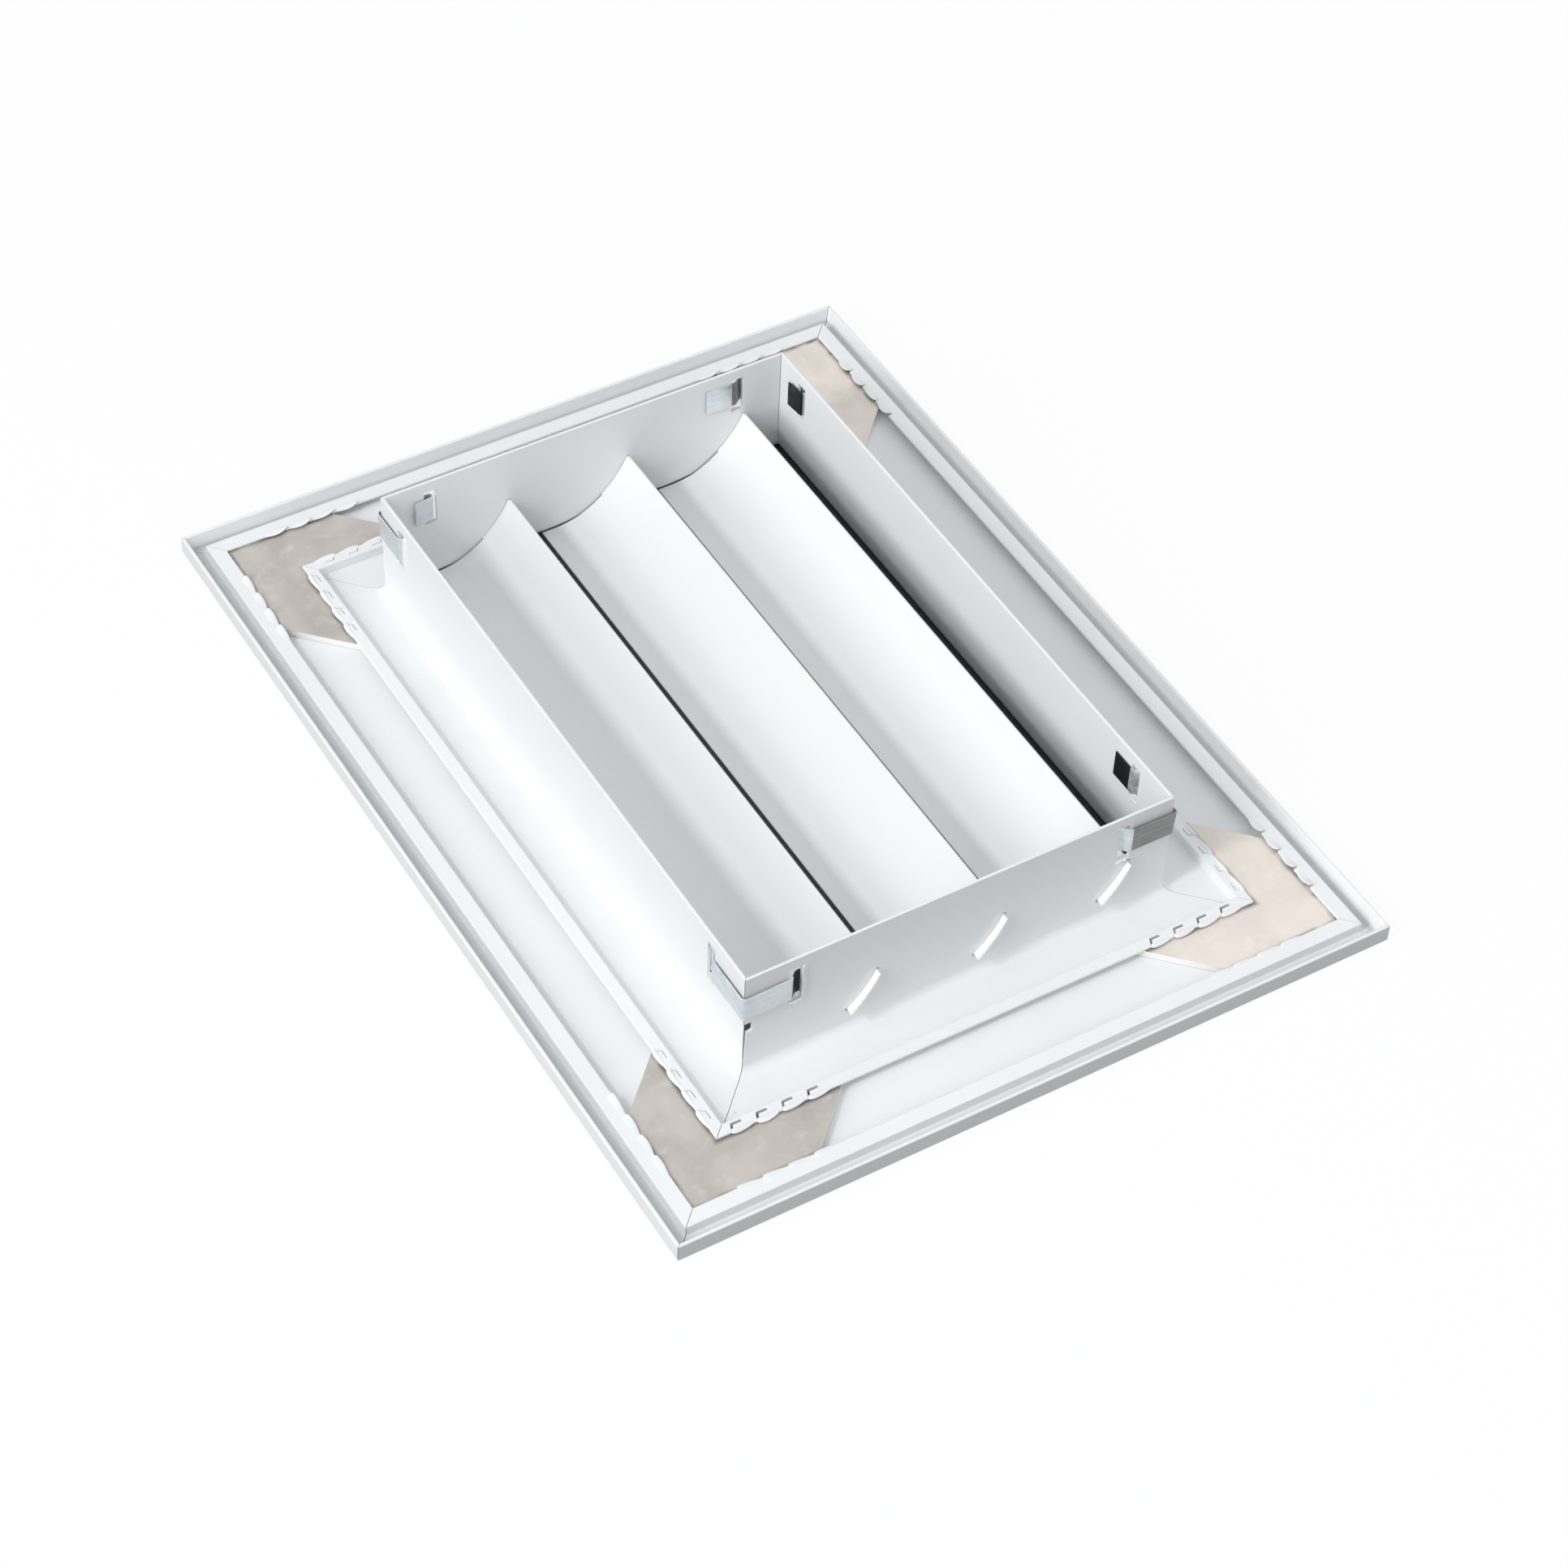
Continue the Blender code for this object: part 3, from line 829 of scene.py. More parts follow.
@dataclass
class Staking(SubAssembly):
    """Tongues staked out of the lips over the keys, and the slits that free them."""

    per_arm: int = 4
    pitch: float = 0.0130
    inner_start: float = 0.0575
    outer_start: float = 0.0440
    lead: float = 0.0045
    root: float = 0.0105
    reach: float = 0.0017
    skew: float = 0.0009
    inner_hold: float = 0.0014
    outer_hold: float = 0.0030
    inner_bulge: float = 0.00085
    outer_bulge: float = 0.00020
    drop: float = 0.00025
    arch: float = 0.0019
    half_thickness: float = 0.00042
    uneven: float = 0.25
    slit_depth: float = 0.0031
    wide_slit: float = 0.0014
    fine_slit: float = 0.0004
    slit_length: float = 0.0048
    gap_length: float = 0.0050
    gap_depth: float = 0.0024
    rounded_share: float = 0.22
    tongue_rows: int = 21
    tongue_columns: int = 22
    seed: int = 11
    crease: float = 60.0
    slot: ClassVar[str] = "frame_paint"

    def strength(self, side: Side) -> Points:
        """How hard each tongue of a side was struck.

        Args:
            side: The side of the frame.

        Returns:
            A number for each tongue on the inner lip, then on the outer one.
        """
        inner, outer = {
            Side.NEAR: (1.0, 0.45),
            Side.RIGHT: (0.5, 1.0),
            Side.FAR: (0.7, 0.9),
            Side.LEFT: (0.6, 0.6),
        }[side]
        return np.repeat([inner, outer], 2 * self.per_arm)

    def places(self, side: Side) -> tuple[Points, Points, Points]:
        """Where the tongues of a side are.

        Args:
            side: The side of the frame.

        Returns:
            Place along the side, inset of the lip's edge, and way into the lip, a tongue each.
        """
        steps = self.pitch * np.arange(self.per_arm)
        half = self.section.length(side) / 2
        inner = half - self.inner_start - steps
        outer = half - self.outer_start - steps
        along = np.concatenate([inner, -inner, outer, -outer])
        count = 2 * self.per_arm
        edge = np.repeat([self.section.inner_lip_edge, self.section.outer_lip_edge], count)
        into = np.repeat([1.0, -1.0], count)
        return along, edge, into

    def slits(self, side: Side) -> tuple[Points, Faces]:
        """L-shaped slits in the inner lip: a leaning cut from its edge, then one along it.

        Args:
            side: The side of the frame.

        Returns:
            Points as (along, inset, height), and faces, of shapes to cut out.
        """
        along, edge, into = (a[:2 * self.per_arm, None] for a in self.places(side))
        lean = self.slit_depth / 2
        width = self.wide_slit if side is Side.NEAR else self.fine_slit
        back = self.slit_depth + width
        outline = np.array([
            (-width, -self.section.lip_wall),
            (0, -self.section.lip_wall),
            (lean, self.slit_depth),
            (lean + self.slit_length, self.slit_depth),
            (lean + self.slit_length, back),
            (lean - width / 2, back),
        ])
        return self.through_lip(along - self.lead + outline[:, 0], edge + into * outline[:, 1])

    def gaps(self, side: Side) -> tuple[Points, Faces]:
        """Gaps in the outer lip's edge, from which the free end of each tongue is raised.

        Args:
            side: The side of the frame.

        Returns:
            Points as (along, inset, height), and faces, of shapes to cut out.
        """
        along, edge, into = (a[2 * self.per_arm:, None] for a in self.places(side))
        outline = np.array([
            (-self.skew, -self.section.lip_wall),
            (self.gap_length, -self.section.lip_wall),
            (self.gap_length - self.skew, self.gap_depth),
            (0, self.gap_depth),
        ])
        return self.through_lip(along - self.lead + outline[:, 0], edge + into * outline[:, 1])

    def through_lip(self, along: Points, inset: Points) -> tuple[Points, Faces]:
        """Prisms that go through a lip, from their outlines in plan."""
        low = np.full(along.shape, self.section.lip_underside - self.section.clearance)
        return prisms(np.stack([along, inset, low], axis=-1), (0, 0, 3 * self.section.lip_wall))

    def tongues(self, side: Side) -> tuple[Points, Faces]:
        """Tongues as flat rounded sections carried along the lip, from the free end at u = 0.

        The section at u stands out from the lip's edge by reach times sin(pi u to the 0.7) to
        the 0.7. With v from its root to its tip it rises by bulge times sin(pi v) and falls by
        drop times v squared on the inner lip, or rises by arch times v (1 - u) on the outer
        one, all fading to the root end. Its outline is a superellipse round the angle a, and
        each tongue differs a little.

        Args:
            side: The side of the frame.

        Returns:
            Points as (along, inset, height), and faces.
        """
        rows, around = self.tongue_rows, self.tongue_columns
        along, edge, into = (p[:, None, None] for p in self.places(side))
        draws = np.random.default_rng(self.seed + side.value)
        varied = draws.uniform(-1, 1, (3, len(along), 1, 1))
        u = np.linspace(0, 1, rows)[None, :, None] ** 1.3
        a = np.linspace(0, 2 * math.pi, around, endpoint=False)[None, None]
        rounded = np.sqrt(1 - (1 - np.clip(u / self.rounded_share, 0.0, 1.0)) ** 2)
        strength = self.strength(side)[:, None, None]
        hold = np.where(into > 0, self.inner_hold, self.outer_hold)
        reach = self.reach * strength * (1 + self.uneven * varied[0])
        lobe = reach * np.sin(math.pi * u ** 0.7).clip(0) ** 0.7
        flat = np.sign(np.cos(a)) * np.abs(np.cos(a)) ** 0.5
        tall = np.sign(np.sin(a)) * np.abs(np.sin(a)) ** 0.7
        v = (1 - flat) / 2
        out = hold - (hold + lobe) * v
        thick = self.half_thickness * (0.55 + 0.45 * rounded)
        fade = (1 - u) ** 0.8
        bulge = np.where(into > 0, self.inner_bulge, self.outer_bulge)
        rise = bulge * (1 + 2 * self.uneven * varied[1]) * np.sin(math.pi * v)
        tip = np.where(into > 0, -self.drop * v ** 2, strength * self.arch * v * (1 - u))
        tip = tip * (1 + 2 * self.uneven * varied[2])
        height = self.section.lip_top - self.half_thickness + fade * (rise + tip) + thick * tall
        across = self.root * u - self.lead - self.skew * v * (1 - u)
        points = np.stack(np.broadcast_arrays(along + across, edge + into * out, height), axis=-1)
        size = rows * around
        quads = stacked(grid_faces(rows, around, closed=True), size, len(along))
        ends = np.stack([np.arange(around), size - around + np.arange(around)])
        return points, quads.tolist() + stacked(ends, size, len(along)).tolist()

    def build(self) -> None:
        """Build the tongues of each side as one piece."""
        for side in Side:
            points, faces = self.tongues(side)
            name = f"tongues_{side.name.lower()}"
            piece = mesh_object(name, self.section.on_side(points, side), faces)
            point_outwards(piece)
            shade(piece, self.crease)
            self.keep(piece)


@dataclass
class Blades(SubAssembly):
    """Curved blades with end tabs in slots of the short walls."""

    count: int = 3
    left_gap: float = 0.0166
    right_gap: float = 0.0212
    top_drop: float = 0.0299
    radius: float = 0.055
    thickness: float = 0.0012
    lift: float = 0.0003
    end_gap: float = 0.0008
    trims: tuple[float, ...] = (0.0026, 0.0024, 0.0021)
    tab_width: float = 0.024
    tab_inset: float = 0.0006
    tab_reach: float = 0.0043
    tab_taper: float = 0.22
    tab_flat: float = 0.0006
    tab_hook: float = 0.0014
    slot_margin: float = 0.0005
    slot_back: float = 0.0010
    rounding: float = 0.00025
    ripple: float = 0.00008
    ripple_number: float = 21.0
    ripple_skew: float = 4.0
    ripple_beat: float = 3.0
    coarse_rag: float = 0.04
    coarse_number: float = 61.0
    fine_rag: float = 0.03
    fine_number: float = 97.0
    fine_phase: float = 2.0
    lower_rows: int = 30
    tab_rows: int = 25
    body_columns: int = 33
    tab_columns: int = 7
    slot: ClassVar[str] = "blade_paint"

    @property
    def axis_z(self) -> float:
        """Height of the axis about which a blade is bent."""
        return self.lift + self.thickness + self.radius

    @property
    def sweep(self) -> float:
        """Angle of a blade's arc, from its lower edge to its top."""
        drop = self.axis_z - self.section.neck_height + self.top_drop
        return math.acos(drop / self.radius)

    @property
    def tab_angles(self) -> tuple[float, float]:
        """Angles on the arc between which the tabs lie."""
        upper = self.sweep - self.tab_inset / self.radius
        return upper - self.tab_width / self.radius, upper

    def axis_x(self) -> Points:
        """Where the blades are, evenly spaced between the gaps to the long walls.

        Returns:
            X of each blade's axis.
        """
        half = self.section.face_width / 2 - self.section.neck_inside
        last = half - self.right_gap - self.radius * math.sin(self.sweep)
        return np.linspace(self.left_gap - half, last, self.count)

    def slots(self, side: Side) -> tuple[Points, Faces]:
        """Curved slots in a short wall: the tab's own arc section, wider on both sides.

        Args:
            side: The short side of the frame.

        Returns:
            Points as (along, inset, height), and faces, of shapes to cut out.
        """
        margin = 2 * self.slot_margin / self.radius
        low, high = self.tab_angles
        angle = np.linspace(low - margin, high + margin, self.tab_rows) - QUARTER
        spokes = np.column_stack([np.cos(angle), np.sin(angle)])
        hollow = (self.radius - self.slot_margin) * spokes
        back = (self.radius + self.thickness + self.slot_back) * spokes
        loop = np.vstack([hollow, back[::-1]])
        mirror = 1 if side is Side.NEAR else -1
        x = mirror * (self.axis_x()[:, None] + loop[:, 0])
        z = np.broadcast_to(self.axis_z + loop[:, 1], x.shape)
        inset = np.full(x.shape, self.section.flange - self.section.wall)
        return prisms(np.stack([x, inset, z], axis=-1), (0, 3 * self.section.wall, 0))

    def foot(self, angle: Points) -> Points:
        """How much longer a blade is where the neck wall curves away below it.

        With the wall's lower edge rounded by R, a point at height z below R finds the wall
        R - sqrt(R squared - (R - z) squared) further out.

        Args:
            angle: Angles on the blade's arc.

        Returns:
            The added length at each of them.
        """
        bend = self.section.neck_fillet + self.section.wall
        below = np.clip(bend - self.axis_z + self.radius * np.cos(angle), 0, bend)
        return bend - np.sqrt(bend ** 2 - below ** 2)

    def sheet(self, trim: float) -> tuple[Points, np.ndarray]:
        """A blade's hollow face: radius times (sin t, -cos t) round the axis, along Y.

        The radius carries a slight ripple, and cells beside the tabs are left out of the grid.
        Outside the wall, with s the way out along a tab and w the way up it, the radius falls
        by flat times s times sin(pi w) and by hook times s squared times (1 - w) cubed, and
        the tab gets shorter upwards with a ragged end, so that it looks hammered over.

        Args:
            trim: How much is cut off along the lower edge.

        Returns:
            Points of one blade about its axis, and quads.
        """
        low, high = self.tab_angles
        lower = np.linspace(trim / self.radius, low, self.lower_rows + 1)[:-1]
        upper = np.linspace(low, high, self.tab_rows)
        angle = np.concatenate([lower, upper, [self.sweep]])[:, None]
        wall = self.section.face_length / 2 - self.section.flange
        end = wall - self.section.wall - self.end_gap
        body = np.linspace(-end, end, self.body_columns)
        tab = np.linspace(wall, wall + self.tab_reach, self.tab_columns)
        y = np.concatenate([-tab[::-1], body, tab])[None]
        wave = np.sin(self.ripple_number * y + self.ripple_skew * angle)
        wave = wave * np.cos(self.ripple_beat * y) * np.sin(math.pi * angle / self.sweep)
        s = np.clip((np.abs(y) - wall) / self.tab_reach, 0, 1)
        w = np.clip((angle - low) / (high - low), 0, 1)
        coarse = self.coarse_rag * np.sin(self.coarse_number * w)
        ragged = coarse + self.fine_rag * np.sin(self.fine_number * w + self.fine_phase)
        y = y - np.sign(y) * s * self.tab_reach * (self.tab_taper * w + ragged)
        y = y + y / end * self.foot(angle) * (s == 0)
        knocked = self.tab_flat * s * np.sin(math.pi * w) + self.tab_hook * s ** 2 * (1 - w) ** 3
        r = self.radius - self.ripple * np.abs(wave) * (s == 0) - knocked
        points = np.stack(np.broadcast_arrays(r * np.sin(angle), y, -r * np.cos(angle)), axis=-1)
        quads = grid_faces(*points.shape[:2]).reshape(points.shape[0] - 1, -1, 4)
        rows = np.arange(points.shape[0] - 1)[:, None]
        columns = np.arange(points.shape[1] - 1)[None]
        in_tab = (rows >= len(lower)) & (rows < len(lower) + len(upper) - 1)
        in_body = (columns >= len(tab)) & (columns < points.shape[1] - 1 - len(tab))
        return points.reshape(-1, 3), quads[in_tab | in_body]

    def build(self) -> None:
        """Build each blade as a thickened sheet in the place of its solid."""
        for number, (x, trim) in enumerate(zip(self.axis_x(), self.trims), start=1):
            points, quads = self.sheet(trim)
            used, faces = np.unique(quads, return_inverse=True)
            placed = points[used] + np.array((x, 0, self.axis_z))
            piece = mesh_object(f"curved_blade_{number}", placed, faces.reshape(-1, 4))
            thicken(piece, self.thickness, -1.0, self.rounding)
            shade(piece)
            self.keep(piece, f"blade_{number}")


@dataclass
class NeckStrips(SubAssembly):
    """Galvanised strips round the neck's corners, through slots and folded inside."""

    width: float = 0.0146
    thickness: float = 0.0007
    drop: float = 0.0112
    standoff: float = 0.00055
    bend: float = 0.0014
    long_lay: float = 0.015
    short_lay: float = 0.012
    long_turn: float = 0.010
    short_turn: float = 0.009
    turn_lift: float = 0.001
    slot_offset: float = 0.0225
    slot_width: float = 0.0065
    joggle: float = 0.0050
    below: float = 0.0013
    above: float = 0.0052
    wave: float = 0.00009
    wave_number: float = 420.0
    wave_skew: float = 3.0
    wave_turn: float = 2.2
    wave_phase: float = 1.7
    lean: float = 0.0007
    rounding: float = 0.00015
    slip_points: int = 25
    lay_points: int = 13
    fold_steps: int = 18
    turn_points: int = 9
    knee_steps: int = 14
    leg_points: int = 11
    rise_points: int = 9
    slot: ClassVar[str] = "strip_zinc"

    @property
    def top(self) -> float:
        """Height of a strip's upper edge."""
        return self.section.neck_height - self.drop

    @property
    def bottom(self) -> float:
        """Height of a strip's lower edge."""
        return self.top - self.width

    @property
    def slot_heights(self) -> tuple[float, float]:
        """Heights of a slot's lower and upper ends."""
        return self.bottom - self.below, self.top + self.above

    def slot_starts(self, corner: Corner) -> tuple[float, float]:
        """Distances from a neck's corner to its slots.

        Args:
            corner: The corner that the strip goes round.

        Returns:
            The distance on the strip's first wall, then on the next.
        """
        shifts = {
            Corner.NEAR_LEFT: (0.0, 0.0030),
            Corner.NEAR_RIGHT: (0.0025, 0.0),
            Corner.FAR_RIGHT: (0.0010, -0.0035),
            Corner.FAR_LEFT: (-0.0040, 0.0),
        }[corner]
        return self.slot_offset + shifts[0], self.slot_offset + shifts[1]

    def lifts(self, corner: Corner) -> tuple[float, float]:
        """How much higher a strip's ends sit, as it was pulled round the corner askew.

        Args:
            corner: The corner that the strip goes round.

        Returns:
            The lift of its first end, then of its second.
        """
        return {
            Corner.NEAR_LEFT: (0.0012, -0.0005),
            Corner.NEAR_RIGHT: (0.0028, 0.0028),
            Corner.FAR_RIGHT: (0.0044, 0.0018),
            Corner.FAR_LEFT: (0.0005, 0.0015),
        }[corner]

    def slot_edges(self, side: Side) -> tuple[tuple[float, float], tuple[float, float]]:
        """Where a wall's two slots run along it, each from its end near the corner.

        Args:
            side: The side of the frame.

        Returns:
            The slot at the side's start, then the one at its end, as places along the side.
        """
        end = self.section.neck_end(side)
        first = self.slot_starts(Corner(side.value))[0] - end
        last = end - self.slot_starts(Corner((side.value + 1) % 4))[1]
        return (first, first + self.slot_width), (last, last - self.slot_width)

    def slots(self, side: Side) -> tuple[Points, Faces]:
        """Straight slots in a neck wall, one near each end of it.

        Args:
            side: The side of the frame.

        Returns:
            Points as (along, inset, height), and faces, of shapes to cut out.
        """
        low, high = self.slot_heights
        edge = np.array(self.slot_edges(side))
        x = edge[:, [0, 1, 1, 0]]
        z = np.broadcast_to(np.array([low, low, high, high]), x.shape)
        inset = np.full(x.shape, self.section.flange - self.section.wall)
        return prisms(np.stack([x, inset, z], axis=-1), (0, 3 * self.section.wall, 0))

    def tail(self, slot: float, shape: Tail, length: float) -> Points:
        """Plan of a strip's end, from outside its slot to its tip inside.

        A laid tail slips inwards as 3 t squared - 2 t cubed over a joggle and runs on along
        the wall. A turned tail goes round a half circle and back towards the corner.

        Args:
            slot: Distance from the neck's corner to the slot.
            shape: How the tail lies.
            length: Length of its last straight run.

        Returns:
            Rows of (along the wall, depth from the wall's outer face).
        """
        outside = -(self.standoff + self.thickness / 2)
        inside = self.section.wall + self.section.clearance + self.thickness / 2
        if shape is Tail.LAID:
            t = np.linspace(0, 1, self.slip_points)
            ease = t * t * (3 - 2 * t)
            slip = np.column_stack([slot + t * self.joggle, outside + ease * (inside - outside)])
            lay = length + self.slot_width - self.joggle
            run = np.linspace(0, 1, self.lay_points)[1:, None] * np.array([[lay, 0.0]])
            return np.vstack([slip, slip[-1] + run])
        radius = (inside - outside) / 2
        middle = (slot + self.slot_width / 2, outside + radius)
        fold = arc(middle, radius, -QUARTER, QUARTER, self.fold_steps)
        back = np.array([[-length, self.turn_lift]])
        run = np.linspace(0, 1, self.turn_points)[1:, None] * back
        return np.vstack([fold, fold[-1] + run])

    def tails(self, corner: Corner) -> tuple[Points, Points]:
        """Plans of a strip's two ends.

        Args:
            corner: The corner that the strip goes round.

        Returns:
            The plan on the strip's first wall, then on the next.
        """
        first = self.short_lay if corner is Corner.NEAR_RIGHT else self.long_lay
        second = {
            Corner.FAR_RIGHT: (Tail.TURNED, self.long_turn),
            Corner.FAR_LEFT: (Tail.TURNED, self.short_turn),
        }.get(corner, (Tail.LAID, self.long_lay))
        slots = self.slot_starts(corner)
        return self.tail(slots[0], Tail.LAID, first), self.tail(slots[1], *second)

    def sheet(self, corner: Corner) -> tuple[Points, np.ndarray]:
        """A strip's middle surface: its plan carried up from the lower to the upper edge.

        Both edges rise evenly along the plan from the first end's lift to the second's. The
        plan is pushed along its own normal by a small wave, so that the metal looks hand bent,
        and with s along the plan its upper edge leans out by lean times sin(pi s) squared.

        Args:
            corner: The corner that the strip goes round.

        Returns:
            Points about the neck's corner, and quads.
        """
        first, second = self.tails(corner)
        outside = first[0, 1]
        middle = (outside + self.bend, outside + self.bend)
        knee = arc(middle, self.bend, -QUARTER, -2 * QUARTER, self.knee_steps)
        legs = np.linspace(0, 1, self.leg_points)[1:-1, None]
        out = first[0] + legs * (knee[0] - first[0])
        back = knee[-1] + legs * (second[0, ::-1] - knee[-1])
        plan = np.vstack([first[::-1], out, knee, back, second[:, ::-1]])
        ahead = np.gradient(plan, axis=0)
        ahead /= np.linalg.norm(ahead, axis=1, keepdims=True)
        normal = np.column_stack([-ahead[:, 1], ahead[:, 0]])
        run = np.concatenate([[0], np.cumsum(np.linalg.norm(np.diff(plan, axis=0), axis=1))])
        up = np.linspace(0, 1, self.rise_points)[None]
        phase = self.wave_phase * corner.value
        along = np.sin(self.wave_number * run[:, None] + self.wave_skew * up + phase)
        push = self.wave * along * np.cos(self.wave_turn * up + phase)
        share = run[:, None] / run[-1]
        push = push + self.lean * up * np.sin(math.pi * share) ** 2
        plan = plan[:, None] + push[..., None] * normal[:, None]
        start, end = self.lifts(corner)
        lift = start + (end - start) * share
        z = self.bottom + up * self.width + lift
        points = np.concatenate([plan, z[..., None]], axis=-1)
        return points, grid_faces(*points.shape[:2])

    def build(self) -> None:
        """Build each strip as a thickened sheet in the place of its solid."""
        for corner in Corner:
            points, quads = self.sheet(corner)
            name = corner.name.lower()
            piece = mesh_object(f"tie_{name}", self.section.on_neck_corner(points, corner), quads)
            thicken(piece, self.thickness, 0.0, self.rounding)
            shade(piece)
            self.keep(piece, f"strip_{name}")


@dataclass
class FrameSides(SubAssembly):
    """The four mitred lengths of the extrusion, with their slots and slits."""

    notch_width: float = 0.0046
    notch_low: float = 0.0278
    notch_high: float = 0.0342
    notch_slant: float = 0.0006
    tear_width: float = 0.0017
    tear_foot: float = 0.0007
    tear_low: float = 0.0110
    slot: ClassVar[str] = "frame_paint"

    def body(self, side: Side) -> tuple[Points, Faces]:
        """The section carried along a side between two mitre planes.

        A point at inset d lies at x = s (half length - d - half the mitre's gap), with s from
        -1 to 1 along the side.

        Args:
            side: The side of the frame.

        Returns:
            Points as (along, inset, height), and faces.
        """
        outline = self.section.section()
        gap = self.section.clearance / math.sqrt(2)
        reach = self.section.length(side) / 2 - outline[:, 0] - gap
        s = np.linspace(-1, 1, 2)[:, None]
        flat = [np.broadcast_to(outline[:, i], (len(s), len(outline))) for i in (0, 1)]
        points = np.stack([s * reach, *flat], axis=-1)
        size = len(outline)
        ends = np.arange(2 * size).reshape(2, size)
        return points, grid_faces(2, size, closed=True).tolist() + ends.tolist()

    def notch(self) -> tuple[Points, Faces]:
        """The torn notch in the near wall's mitre, at the left, and the tear that runs down from it.

        Returns:
            Points as (along, inset, height), and faces.
        """
        outline = np.array([
            (-self.notch_width, self.tear_low),
            (self.tear_foot, self.tear_low),
            (self.tear_width, self.notch_low),
            (self.notch_width, self.notch_low + self.notch_slant),
            (self.notch_width, self.notch_high),
            (-self.notch_width, self.notch_high),
        ])
        x = outline[:, 0] - self.section.neck_end(Side.NEAR)
        z = outline[:, 1]
        inset = np.full(len(outline), self.section.flange - self.section.wall)
        return prisms(np.stack([x, inset, z], axis=-1)[None], (0, 3 * self.section.wall, 0))

    def build(self, staking: Staking, blades: Blades, strips: NeckStrips) -> None:
        """Build each side in the place of its solid.

        Args:
            staking: Gives the slits in the lips.
            blades: Give the curved slots in the short walls.
            strips: Give the straight slots in every wall.
        """
        for side in Side:
            points, faces = self.body(side)
            name = f"side_{side.name.lower()}"
            piece = mesh_object(name, self.section.on_side(points, side), faces)
            point_outwards(piece)
            tools = [staking.slits(side), staking.gaps(side), strips.slots(side)]
            if side.is_short:
                tools.append(blades.slots(side))
            if side is Side.NEAR:
                tools.append(self.notch())
            for tool_points, tool_faces in tools:
                cut(piece, self.section.on_side(tool_points, side), tool_faces)
            shade(piece)
            self.keep(piece, side.node)


@dataclass
class SlotEdges(SubAssembly):
    """Edges and flaps that the punch left standing out from the neck walls at the slots."""

    width: float = 0.0026
    height: float = 0.0013
    flap_length: float = 0.0042
    flap_height: float = 0.0017
    flap_sweep: float = 0.35
    wrinkle: float = 0.3
    wrinkle_number: float = 17.0
    wrinkle_skew: float = 3.0
    buried: float = 0.0002
    rows: int = 11
    columns: int = 25
    crease: float = 50.0
    slot: ClassVar[str] = "frame_paint"

    def shell(self, along: Points, height: Points, rise: Points) -> tuple[Points, np.ndarray]:
        """A raised patch: one layer that stands out of the wall by rise, and one in the wall.

        Args:
            along: Place along the side, on a grid.
            height: Height above the face, on the same grid.
            rise: How far the patch stands out, on the same grid.

        Returns:
            Points as (along, inset, height), and quads.
        """
        rows, columns = rise.shape
        size = rows * columns
        number = np.arange(size).reshape(rows, columns)
        rim = np.concatenate([number[:-1, 0], number[-1, :-1], number[:0:-1, -1], number[0, :0:-1]])
        skirt = np.stack([rim, np.roll(rim, -1), np.roll(rim, -1) + size, rim + size], axis=-1)
        quads = grid_faces(rows, columns)
        insets = (self.section.flange - rise, np.full_like(rise, self.section.flange + self.buried))
        layers = [np.stack([along, inset, height], axis=-1) for inset in insets]
        return np.stack(layers).reshape(-1, 3), np.vstack([quads, quads[:, ::-1] + size, skirt])

    def patches(self, side: Side, strips: NeckStrips) -> list[tuple[Points, np.ndarray]]:
        """The raised edge of a side's first slot, and a flap under both of its slots.

        The edge stands out by height times (1 - u squared) times the fourth root of sin(pi v),
        with u from the slot into the wall and v up the slot. A flap stands out by its height
        times (1 - u) to the 1.5 times the root of sin(pi v), with u down from the slot and v
        across it, and its foot is bent to one side.

        Args:
            side: The side of the frame.
            strips: Give the slots' places.

        Returns:
            Points and quads of each patch.
        """
        low, high = strips.slot_heights
        u = np.linspace(0, 1, self.rows)[:, None]
        v = np.linspace(0, 1, self.columns)[None]
        arch = np.sin(math.pi * v).clip(0)
        near, far = strips.slot_edges(side)[0]
        away = math.copysign(self.width, far - near)
        rise = self.height * (1 - u ** 2) * arch ** 0.25
        foot = low + self.buried
        made = [self.shell(far + u * away + 0 * v, foot + v * (high - foot) + 0 * u, rise)]
        for near, far in strips.slot_edges(side):
            along = near + v * (far - near) + self.flap_sweep * u ** 2 * (far - near)
            wrinkled = 1 + self.wrinkle * np.sin(self.wrinkle_number * v + self.wrinkle_skew * u)
            rise = self.flap_height * (1 - u) ** 1.5 * np.sqrt(arch) * wrinkled
            made.append(self.shell(along, low - u * self.flap_length + 0 * v, rise))
        return made

    def build(self, strips: NeckStrips) -> None:
        """Build the raised edges and flaps of each side as one piece.

        Args:
            strips: Give the slots' places.
        """
        for side in Side:
            made = self.patches(side, strips)
            starts = np.cumsum([0] + [len(points) for points, _ in made[:-1]])
            faces = np.vstack([quads + start for (_, quads), start in zip(made, starts)])
            points = np.vstack([points for points, _ in made])
            name = f"slot_edges_{side.name.lower()}"
            piece = mesh_object(name, self.section.on_side(points, side), faces)
            point_outwards(piece)
            shade(piece, self.crease)
            self.keep(piece)


@dataclass
class CornerKeys(SubAssembly):
    """The flat corner keys, which keep their solids."""

    slot: ClassVar[str] = "key_metal"

    def build(self) -> None:
        """Take the keys' solids as they are."""
        for corner in Corner:
            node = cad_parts[f"key_{corner.name.lower()}"]
            self.pieces.append(node)
            LOG.info("%s: kept", node.name)


# The view


@dataclass(frozen=True)
class Lamp:
    """A square area lamp that is aimed at the grille, with its power in watts."""

    name: str
    spot: tuple[float, float, float]
    size: float
    power: float


